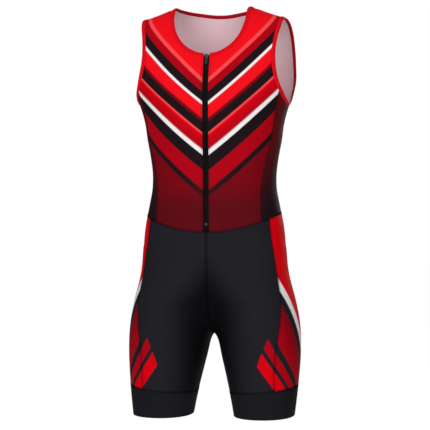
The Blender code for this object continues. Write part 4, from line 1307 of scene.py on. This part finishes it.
def strip_around(name, edge, inward, closed, look, node):
    """A folded binding round an open edge, rounded at the lip and pulled in by its stitches."""
    normals = outward(edge)
    walked = run_along(edge)
    pucker = PUCKER_HEIGHT * np.sin(walked * 2 * math.pi / PUCKER_PITCH)
    profile = np.array(BINDING_PROFILE)
    around = np.concatenate(([0.0], np.cumsum(np.linalg.norm(np.diff(profile, axis=0), axis=1))))
    swell = np.where(profile[:, 1] > 0, 1.0, 0.0)
    out = profile[:, 1] + pucker[:, None] * swell
    points = edge[:, None] + profile[:, 0, None] * inward[:, None] + out[..., None] * normals[:, None]
    knit = np.stack(np.broadcast_arrays(walked[:, None], around[None]), axis=-1)
    rows, sides = points.shape[:2]
    number = np.arange(rows * sides).reshape(rows, sides)
    after = np.roll(number, -1, axis=1)
    faces = np.stack((number[:-1], number[1:], after[1:], after[:-1]), axis=-1).reshape(-1, 4).tolist()
    if not closed:
        faces.append(number[0].tolist())
        faces.append(number[-1, ::-1].tolist())
    mesh = bpy.data.meshes.new(name)
    mesh.from_pydata(points.reshape(-1, 3), [], faces)
    layer = mesh.uv_layers.new(name="knit")
    corners = np.zeros(len(mesh.loops), dtype=int)
    mesh.loops.foreach_get("vertex_index", corners)
    layer.uv.foreach_set("vector", knit.reshape(-1, 2)[corners].reshape(-1))
    shape = bmesh.new()
    shape.from_mesh(mesh)
    if closed:
        bmesh.ops.remove_doubles(shape, verts=shape.verts, dist=BINDING_WELD)
    bmesh.ops.recalc_face_normals(shape, faces=shape.faces)
    shape.to_mesh(mesh)
    shape.free()
    mesh.shade_smooth()
    mesh.materials.append(look)
    return finish_piece(place(name, mesh), [node])


def centre_frame(z):
    """A frame on the centre front: across, up along the zip, out from the cloth."""
    origin = settle(np.array([0.0, ZIP_GUESS_Y, z]), free=DEPTH_ONLY)
    out = Vector(outward(origin))
    up = out.cross(Vector((1, 0, 0)))
    turn = Matrix((Vector((1, 0, 0)), up, out)).transposed().to_4x4()
    return Matrix.Translation(Vector(origin)) @ turn


def zip_tapes(zip_edge, neck_foot):
    """The two tapes behind the front edges, each with a low rounded chain along the middle."""
    rows = zip_edge.copy()
    top = neck_foot.copy()
    top[0] = ZIP_HALF_GAP
    rows[-1] = top + unit(rows[-2] - top) * TAPE_TOP_DROP
    grid = np.repeat(rows[:, None], len(TAPE_X), axis=1)
    grid[..., 0] = TAPE_X
    fine = settle(finer(grid, edge=False), free=DEPTH_ONLY, steps=FINE_STEPS)
    hump = np.interp(TAPE_X, TAPE_HUMP_X, TAPE_HUMP_OUT)
    tapes = {}
    for side in ("left", "right"):
        part = cut(fine, {}, side == "right")
        part["points"] = part["points"] + hump[:, None] * outward(part["points"])
        piece = cloth("zip_tape_cloth_" + side, [part], LOOKS["tape"], LOOKS["tape"],
                      thickness=TAPE_CLOTH, raised=-TAPE_SUNK)
        tapes[finish_piece(piece, ["zip_tape_" + side])] = "zip_tape"
    return tapes, fine[:, 0]


def zip_coils(middle):
    """The two nylon coils behind the chain, one half a turn from the other."""
    line = evenly_spaced(middle, COIL_PITCH / COIL_STEPS)
    ways = outward(line)
    turns = np.arange(len(line)) * 2 * math.pi / COIL_STEPS
    parts = []
    for side, start in ((1, 0.0), (-1, math.pi)):
        across = side * (COIL_AWAY + COIL_ACROSS * np.cos(turns + start))
        out = -COIL_SUNK + COIL_HIGH * np.sin(turns + start)
        path = line + out[:, None] * ways
        path[:, 0] = across
        parts.append(threads(path[None], ways[None], COIL_THREAD, sides=4))
    return thread_piece("zip_coils", parts, LOOKS["coil"])


def start_clean():
    """Nothing selected, before a new piece is modelled."""
    if bpy.context.object and bpy.context.object.mode == "EDIT":
        bpy.ops.object.mode_set(mode="OBJECT")
    bpy.ops.object.select_all(action="DESELECT")


def add_cube(name, size, centre):
    """A plain block, with its size kept in the mesh."""
    start_clean()
    bpy.ops.mesh.primitive_cube_add(size=1, location=centre, scale=size)
    made = bpy.context.object
    made.name = name
    bpy.ops.object.transform_apply(location=True, rotation=True, scale=True)
    return made


def add_block(name, size, centre, bevel, segments=3):
    """A block with rounded edges."""
    made = add_cube(name, size, centre)
    bpy.ops.object.mode_set(mode="EDIT")
    bpy.ops.mesh.select_all(action="SELECT")
    bpy.ops.mesh.bevel(offset=bevel, segments=segments, affect="EDGES")
    bpy.ops.object.mode_set(mode="OBJECT")
    return made


def round_edges(made, width):
    """Rounds the sharper edges of the active piece."""
    rounding = made.modifiers.new("rounding", "BEVEL")
    rounding.width = width
    rounding.segments = 3
    rounding.limit_method = "ANGLE"
    rounding.angle_limit = SMOOTH_ANGLE
    bpy.ops.object.modifier_apply(modifier="rounding")


def select_where(made, test):
    """In edit mode, selects the points that pass a test of their place."""
    bpy.ops.object.mode_set(mode="OBJECT")
    for vertex in made.data.vertices:
        vertex.select = test(vertex.co)
    for edge in made.data.edges:
        edge.select = all(made.data.vertices[i].select for i in edge.vertices)
    for face in made.data.polygons:
        face.select = all(made.data.vertices[i].select for i in face.vertices)
    bpy.ops.object.mode_set(mode="EDIT")


def tapered_plate(name, size, centre, bevel):
    """A slider's plate: narrower at its lower end, with rounded edges."""
    made = add_cube(name, size, centre)
    bpy.ops.object.mode_set(mode="EDIT")
    bpy.ops.mesh.select_all(action="SELECT")
    bpy.ops.mesh.subdivide(number_cuts=PLATE_CUTS)
    bpy.ops.mesh.select_all(action="DESELECT")
    bpy.ops.object.mode_set(mode="OBJECT")
    low = centre[1] - size[1] / 2
    for vertex in made.data.vertices:
        share = (vertex.co.y - low) / size[1]
        vertex.co.x *= PLATE_NARROW + (1 - PLATE_NARROW) * min(1.0, share * PLATE_TAPER)
    start_clean()
    made.select_set(True)
    bpy.context.view_layer.objects.active = made
    round_edges(made, bevel)
    return made


def bent_bar(name, path, radius):
    """A round bar bent along a path."""
    start_clean()
    curve = bpy.data.curves.new(name, "CURVE")
    curve.dimensions = "3D"
    curve.bevel_depth = radius
    curve.bevel_resolution = 3
    curve.use_fill_caps = True
    spline = curve.splines.new("POLY")
    spline.points.add(len(path) - 1)
    for point, where in zip(spline.points, path):
        point.co = (*where, 1.0)
    made = bpy.data.objects.new(name, curve)
    bpy.context.scene.collection.objects.link(made)
    made.select_set(True)
    bpy.context.view_layer.objects.active = made
    bpy.ops.object.convert(target="MESH")
    return bpy.context.object


def joined(name, pieces, frame_at, look):
    """Pieces made one, moved to their place on the garment, with the place kept in the mesh."""
    start_clean()
    for piece in pieces:
        piece.select_set(True)
    bpy.context.view_layer.objects.active = pieces[0]
    bpy.ops.object.join()
    made = bpy.context.object
    made.name = name
    made.data.name = name
    made.data.transform(frame_at)
    made.data.materials.clear()
    made.data.materials.append(look)
    bpy.ops.object.shade_smooth_by_angle(angle=SMOOTH_ANGLE)
    return made


def slider():
    """The slider: a tapered front plate, a rear plate, the post between them and a staple for the tab."""
    frame_at = centre_frame(SLIDER_Z)
    front = tapered_plate("front_plate", *FRONT_PLATE)
    rear = tapered_plate("rear_plate", *REAR_PLATE)
    post = add_block("post", *POST)
    ear = BAIL_INNER_HALF + BAIL_EAR / 2
    nick = STAPLE_NICK * STAPLE_CORNER
    half = [(ear, STAPLE_FOOT), (ear, BAIL_OUT - STAPLE_CORNER), (ear - nick, BAIL_OUT - nick),
            (ear - STAPLE_CORNER, BAIL_OUT)]
    path = [(-across, BAIL_UP, out) for across, out in half]
    path += [(across, BAIL_UP, out) for across, out in half[::-1]]
    staple = bent_bar("staple", path, STAPLE_RADIUS)
    nose = add_block("nose", *NOSE)
    made = joined("slider", [front, rear, post, staple, nose], frame_at, LOOKS["metal"])
    return finish_piece(made, ["slider_body"])


def pull_tab():
    """The pull tab: an eye round the staple, a neck, and a moulded grip with a sunk face and cross ribs."""
    frame_at = centre_frame(SLIDER_Z) @ Matrix.Translation((0, BAIL_UP, BAIL_OUT))
    start_clean()
    bpy.ops.mesh.primitive_torus_add(major_radius=EYE_RADII[0], minor_radius=EYE_RADII[1],
                                     major_segments=28, minor_segments=10, rotation=(0, math.pi / 2, 0))
    eye = bpy.context.object
    bpy.ops.object.transform_apply(location=True, rotation=True, scale=True)
    eye.scale = (EYE_WIDEN, 1.0, 1.0)
    bpy.ops.object.transform_apply(location=True, rotation=True, scale=True)
    neck = add_block("neck", *TAB_NECK)
    grip = add_cube("grip", (TAB_WIDTH, TAB_LENGTH, TAB_THICKNESS), (0, -TAB_START - TAB_LENGTH / 2, 0))
    select_where(grip, lambda co: co.y > -TAB_START - TAB_LENGTH / 2)
    bpy.ops.transform.resize(value=(GRIP_NARROW, 1, 1), center_override=(0, 0, 0))
    for facing in (1, -1):
        bpy.ops.object.mode_set(mode="OBJECT")
        for face in grip.data.polygons:
            face.select = face.normal.z * facing > GRIP_FACING and face.area > GRIP_LEAST_FACE
        bpy.ops.object.mode_set(mode="EDIT")
        bpy.ops.mesh.select_mode(type="FACE")
        bpy.ops.mesh.inset(thickness=GRIP_RIM, depth=0.0)
        bpy.ops.mesh.inset(thickness=GRIP_WALL, depth=-GRIP_SINK)
        bpy.ops.mesh.select_mode(type="VERT")
    bpy.ops.object.mode_set(mode="OBJECT")
    round_edges(grip, GRIP_ROUND)
    first_rib = -TAB_START - GRIP_RIB_START
    ribs = [add_block("rib", GRIP_RIB, (0, first_rib - GRIP_RIB_PITCH * step, 0), GRIP_RIB_ROUND, 2)
            for step in range(GRIP_RIBS)]
    made = joined("pull_tab_moulded", [grip, eye, neck, *ribs], frame_at, LOOKS["plastic"])
    return finish_piece(made, ["pull_tab"], body="pull_tab")


def zip_foot_pieces():
    """The stop at the zip's lower end, a folded clip, and the cloth tab below it."""
    depth = STOP_SIZE[2]
    seat = SEAT_GAP - TAPE_SUNK + depth / 2
    blocks = [add_block("stop", (STOP_SIZE[0], STOP_SIZE[1], depth * STOP_SUNK), (0, 0, seat), STOP_ROUND)]
    for side in (1, -1):
        blocks.append(add_block("cheek", (CHEEK_WIDTH, STOP_SIZE[1] * CHEEK_SHARE, depth),
                                (side * CHEEK_AWAY, 0, seat), STOP_ROUND))
    made = joined("zip_stop_clip", blocks, centre_frame(STOP_Z), LOOKS["plastic"])
    finish_piece(made, ["zip_stop"])
    seat = SEAT_GAP - TAPE_SUNK + END_TAB_SIZE[2] / 2
    tab = add_block("tab", END_TAB_SIZE, (0, 0, seat), END_TAB_ROUND)
    made = joined("zip_end_cloth", [tab], centre_frame(END_TAB_Z), LOOKS["end_tab"])
    finish_piece(made, ["zip_end_tab"])


def dress():
    """The cloth panels of the garment and its leg bands."""
    waist = waist_line()
    upper = upper_lines(waist)
    lower = lower_lines(waist)
    seamed = {"foot": "seam", "inner": "seam", "outer": "seam", "head": "seam"}
    sheets = {}

    folded = {**seamed, "inner": "fold"}
    for piece in pair("front", upper["front"], folded, (LOOKS["upper"], LOOKS["lining"]), "upper_red",
                      breaks=(SIDE_ROWS, ZIP_ROWS), measured_from="front"):
        sheets[piece] = "front"
    for piece in pair("side", upper["side"], seamed, (LOOKS["side"], LOOKS["lining"]), "panel_dark_red"):
        sheets[piece] = "side"

    half_back = drawn_in(finer_grid(upper["back"], breaks=(SIDE_ROWS, BACK_ROWS)))
    back_edges = {"foot": "seam", "outer": "seam", "head": "seam"}
    parts = [cut(half_back, back_edges, mirrored, measured_from="back") for mirrored in (False, True)]
    back = cloth("back_cloth", parts, LOOKS["upper"], LOOKS["lining"])
    sheets[finish_piece(back, ["back"])] = "back"

    for name, look, slot, measured_from in (
            ("shorts_front", "shorts_front", "shorts_black", "outer"),
            ("shorts_side", "shorts_side", "panel_dark_red", "inner"),
            ("shorts_back", "shorts", "shorts_black", "inner")):
        grid = lower[name[len("shorts_"):]]
        for piece in pair(name, grid, seamed, (LOOKS[look], LOOKS["dark_lining"]), slot,
                          measured_from=measured_from):
            sheets[piece] = name
    for piece in pair("leg_band", lower["band"], {"foot": "seam"}, (LOOKS["band"], LOOKS["band"]),
                      "band_black", raised=BAND_RAISED, thickness=BAND_CLOTH, ring=True):
        sheets[piece] = "leg_band"
    return upper, lower, sheets


def drawn_in(grid):
    """A half back drawn in at its seams, but not down the middle, where it goes on."""
    whole = trimmed(grid)
    on_middle = abs(grid[:, 0, 0]) < WELD
    whole[on_middle, 0] = grid[on_middle, 0]
    whole[on_middle, 0, 0] = 0.0
    return whole


def bindings(upper):
    """The bindings round the neck and both armholes, each with its line of stitches."""
    stitches = []
    arm, arm_sewn = upper["arm_open"], upper["arm_sewn"]
    inward = unit(arm_sewn - arm)
    made = []
    for side, turn in (("left", 1.0), ("right", MIRROR)):
        made.append(strip_around("armhole_binding_cloth_" + side, arm * turn, inward * turn, True,
                                 LOOKS["binding"], "armhole_binding_" + side))
    stitches += both_sides(top_stitch(arm + BINDING_STITCH_PLACE * inward, BINDING_STITCH_LIFT))
    neck, neck_sewn = upper["neck_open"], upper["neck_sewn"]
    places = np.linspace(upper["zip_place"], upper["back_place"], NECK_POINTS)
    half = at(neck, places)
    half_in = unit(at(neck_sewn, places) - half)
    half[0, 0] = ZIP_HALF_GAP + SEAM_GAP / 2
    half_in[0, 0] = 0.0
    edge = np.concatenate((half, half[-2::-1] * MIRROR))
    edge_in = np.concatenate((half_in, half_in[-2::-1] * MIRROR))
    made.append(strip_around("neck_binding_cloth", edge, edge_in, False,
                             LOOKS["binding"], "neck_binding"))
    stitches += top_stitch(edge + BINDING_STITCH_PLACE * edge_in, BINDING_STITCH_LIFT)
    thread_piece("binding_stitches", stitches, LOOKS["red_thread"])
    return made


def seams(upper, lower):
    """The cover seams round the waist, down the front and back, between the legs and over the bands."""
    waist = waist_line()
    parts = cover_stitch(waist) + cover_stitch(lower["inseam"][1:])
    parts += cover_stitch(lower["band_top"], BAND_SEAM_LIFT)
    parts = both_sides(parts) + cover_stitch(lower["rise"], half=RISE_COVER_HALF)
    thread_piece("cover_seams", parts, LOOKS["black_thread"])
    fold = finer_line(upper["zip_edge"])
    fold[:, 0] = ZIP_HALF_GAP + FOLD_STITCH_PLACE
    fold = settle(fold, free=DEPTH_ONLY, steps=FINE_STEPS)
    thread_piece("zip_stitches", both_sides(top_stitch(fold, FOLD_STITCH_LIFT)), LOOKS["dark_red_thread"])
    side_lines = [upper["front"][:SIDE_ROWS + 1, -1], upper["side"][:, -1]]
    parts = [stitch for line in side_lines for stitch in cover_stitch(line)]
    thread_piece("side_seams", both_sides(parts), LOOKS["dark_red_thread"])
    parts = cover_stitch(lower["front"][:, -1]) + cover_stitch(lower["back"][:, 0])
    thread_piece("leg_seams", both_sides(parts), LOOKS["black_thread"])
    thread_piece("shoulder_seams", both_sides(cover_stitch(upper["shoulder"])), LOOKS["dark_red_thread"])


def binding_red_with_painted_back_shade(tree):
    """Bright red at the front, turned to a deeper red round the back by painted shade."""
    where = split(tree, object_place(tree))
    return mixed(tree, step_between(tree, where["Y"], *BINDING_SHADE_TURNS), BINDING_FRONT, BINDING_BACK_PAINTED_SHADE)


def lining_look(name, colour):
    """The cloth's inside: paler, matt, with the loops of the knit's back."""
    made, tree, shader = new_look(name, "lining", sheen=LINING_SHEEN, gloss=LINING_GLOSS)
    loops = use_group(tree, KNIT, Place=uv_map(tree, "knit"), Rib=LINING_RIB, Course=LINING_COURSE)
    drift = use_group(tree, DYE_DRIFT, Place=object_place(tree), Amount=LINING_DRIFT)
    feed(tree, shader.inputs["Base Color"],
         shaded(tree, plain(tree, colour), loops["Shade"], drift["Shade"]))
    add_bump(tree, shader, loops["Height"], KNIT_DEPTH)
    return made


def tape_look():
    """Woven tape: herringbone ribs that lean either way from the chain."""
    made, tree, shader = new_look("zip_tape", "tape", gloss=TAPE_GLOSS)
    where = split(tree, uv_map(tree, "knit"))
    lean = sum_of(tree, "MULTIPLY_ADD", where["X"], 1.0, where["Y"])
    ribs = sum_of(tree, "SINE", sum_of(tree, "MULTIPLY", lean, 2 * math.pi / TAPE_RIB))
    lines = sum_of(tree, "SINE", sum_of(tree, "MULTIPLY", where["X"], 2 * math.pi / TAPE_LINE))
    ribbed = sum_of(tree, "MULTIPLY", ribs, TAPE_RIB_SHARE)
    height = sum_of(tree, "MULTIPLY_ADD", lines, TAPE_LINE_SHARE, ribbed)
    shade = sum_of(tree, "MULTIPLY_ADD", height, *TAPE_SHADE)
    feed(tree, shader.inputs["Base Color"], shaded(tree, plain(tree, TAPE_BLACK), shade))
    add_bump(tree, shader, height, TAPE_DEPTH)
    return made


def thread_look(name, colour):
    """Spun thread: a fine twist."""
    made, tree, shader = new_look(name, "thread", gloss=THREAD_GLOSS)
    grain = noise(tree, object_place(tree), THREAD_GRAIN, 2.0)
    shade = sum_of(tree, "MULTIPLY_ADD", grain, *THREAD_SHADE)
    feed(tree, shader.inputs["Base Color"], shaded(tree, plain(tree, colour), shade))
    add_bump(tree, shader, grain, THREAD_DEPTH)
    return made


def metal_look():
    """Dark plated metal: brighter and smoother where it rubs, with a faint grain."""
    made, tree, shader = new_look("slider_metal", "metal", metallic=1.0)
    grain = noise(tree, object_place(tree), METAL_GRAIN, 3.0)
    cloudy = noise(tree, object_place(tree), METAL_CLOUDS, 3.0)
    share = step_between(tree, cloudy, *METAL_RUBBED)
    feed(tree, shader.inputs["Base Color"], mixed(tree, share, METAL_DARK, METAL_BRIGHT))
    feed(tree, shader.inputs["Roughness"], sum_of(tree, "MULTIPLY_ADD", cloudy, *METAL_ROUGHNESS))
    add_bump(tree, shader, grain, METAL_DEPTH)
    return made


def plastic_look():
    """Moulded black plastic with a fine spark texture."""
    made, tree, shader = new_look("tab_plastic", "plastic")
    grain = noise(tree, object_place(tree), PLASTIC_GRAIN, 3.0)
    slow = noise(tree, object_place(tree), PLASTIC_CLOUDS, 2.0)
    feed(tree, shader.inputs["Base Color"], mixed(tree, slow, PLASTIC_DARK, PLASTIC_WORN))
    feed(tree, shader.inputs["Roughness"], sum_of(tree, "MULTIPLY_ADD", grain, *PLASTIC_ROUGHNESS))
    add_bump(tree, shader, grain, PLASTIC_DEPTH)
    return made


def coil_look():
    """Nylon coil: dark and a little glossy."""
    made, tree, shader = new_look("zip_coil", "coil")
    slow = noise(tree, object_place(tree), COIL_CLOUDS, 2.0)
    feed(tree, shader.inputs["Base Color"], mixed(tree, slow, COIL_DARK, COIL_PALE))
    feed(tree, shader.inputs["Roughness"], sum_of(tree, "MULTIPLY_ADD", slow, *COIL_ROUGHNESS))
    return made


def floor_look():
    """Pale paint, seen a little brighter than it lights, so that it runs into the white behind it."""
    made, tree, shader = new_look("floor_paint", "floor", gloss=0.0)
    grain = noise(tree, object_place(tree), FLOOR_GRAIN, 2.0)
    shade = sum_of(tree, "MULTIPLY_ADD", grain, FLOOR_UNEVEN, FLOOR_SHADE)
    feed(tree, shader.inputs["Base Color"], ramp_grey(tree, shade))
    shader.inputs["Emission Color"].default_value = (1.0, 1.0, 1.0, 1.0)
    rays = tree.nodes.new("ShaderNodeLightPath").outputs
    glow = sum_of(tree, "MULTIPLY", rays["Is Camera Ray"], FLOOR_GLOW)
    feed(tree, shader.inputs["Emission Strength"], glow)
    return made


def area_light(name, where, toward, size, power):
    """A soft rectangular light that looks at a point."""
    data = bpy.data.lights.new(name, "AREA")
    data.shape = "RECTANGLE"
    data.size = size[0]
    data.size_y = size[1]
    data.energy = power
    made = bpy.data.objects.new(name, data)
    made.location = where
    made.rotation_euler = (Vector(toward) - Vector(where)).to_track_quat("-Z", "Y").to_euler()
    bpy.context.scene.collection.objects.link(made)


def studio():
    """A pale floor, soft lights from both sides, above and behind, and the camera."""
    scene = bpy.context.scene
    scene.view_settings.view_transform = "Standard"
    world = bpy.data.worlds.new("studio")
    world.use_nodes = True
    sky = world.node_tree.nodes["Background"]
    sky.inputs["Color"].default_value = (1.0, 1.0, 1.0, 1.0)
    rays = world.node_tree.nodes.new("ShaderNodeLightPath").outputs
    gloss = ranged(world.node_tree, rays["Is Glossy Ray"], 0.0, 1.0, WORLD_LIGHT, WORLD_GLOSS)
    feed(world.node_tree, sky.inputs["Strength"],
         ranged(world.node_tree, rays["Is Camera Ray"], 0.0, 1.0, gloss, WORLD_SEEN))
    scene.world = world
    start_clean()
    bpy.ops.mesh.primitive_plane_add(size=FLOOR_SIZE, location=(0, 0, FLOOR_Z))
    floor = bpy.context.object
    floor.name = "floor"
    bpy.ops.object.transform_apply(location=True, rotation=True, scale=True)
    floor.data.materials.append(floor_look())
    for name, where, size, power in LIGHTS:
        area_light(name, where, (0, 0, MIDDLE_Z), size, power)
    data = bpy.data.cameras.new("camera")
    data.sensor_width = SENSOR
    data.sensor_fit = "HORIZONTAL"
    data.lens = SENSOR * CAMERA_AWAY / FRAME_WIDTH
    data.clip_start = CLIP_START
    camera = bpy.data.objects.new("camera", data)
    turn = math.radians(CAMERA_AZIMUTH)
    ahead = Vector((-math.sin(turn), math.cos(turn), 0))
    right = Vector((math.cos(turn), math.sin(turn), 0))
    camera.location = Vector((0, 0, MIDDLE_Z)) - CAMERA_AWAY * ahead + CAMERA_ASIDE * right
    camera.rotation_euler = ahead.to_track_quat("-Z", "Y").to_euler()
    scene.collection.objects.link(camera)
    scene.camera = camera


KNIT = knit_group()
DYE_DRIFT = wear_group()
LOOKS = {
    "upper": knit_look("upper_cloth", upper_print),
    "side": knit_look("side_cloth", side_print),
    "shorts": knit_look("shorts_cloth", black_with_painted_crotch_shade, finish="shorts"),
    "shorts_front": knit_look("shorts_front_cloth", shorts_front_print, finish="shorts"),
    "shorts_side": knit_look("shorts_side_cloth", shorts_side_print, finish="shorts_side"),
    "band": knit_look("band_cloth", BAND_BLACK, finish="band", rib=BAND_RIB, depth=BAND_DEPTH),
    "binding": knit_look("binding_cloth", binding_red_with_painted_back_shade, finish="binding", rib=BINDING_RIB,
                         course=BINDING_COURSE),
    "lining": lining_look("lining_cloth", LINING_PALE),
    "dark_lining": lining_look("shorts_lining_cloth", LINING_DARK),
    "tape": tape_look(),
    "end_tab": knit_look("end_tab_cloth", TAPE_BLACK),
    "coil": coil_look(),
    "metal": metal_look(),
    "plastic": plastic_look(),
    "red_thread": thread_look("red_thread", THREAD_RED),
    "dark_red_thread": thread_look("dark_red_thread", THREAD_DARK_RED),
    "black_thread": thread_look("black_thread", THREAD_BLACK),
}
upper_part, lower_part, cloth_pieces = dress()
tapes, middle_line = zip_tapes(upper_part["zip_edge"], upper_part["neck_foot"])
cloth_pieces.update(tapes)
zip_coils(middle_line)
for strip in bindings(upper_part):
    cloth_pieces[strip] = "neck_binding" if "neck" in strip.name else "armhole_binding"
seams(upper_part, lower_part)
slider()
pull_tab()
zip_foot_pieces()
studio()
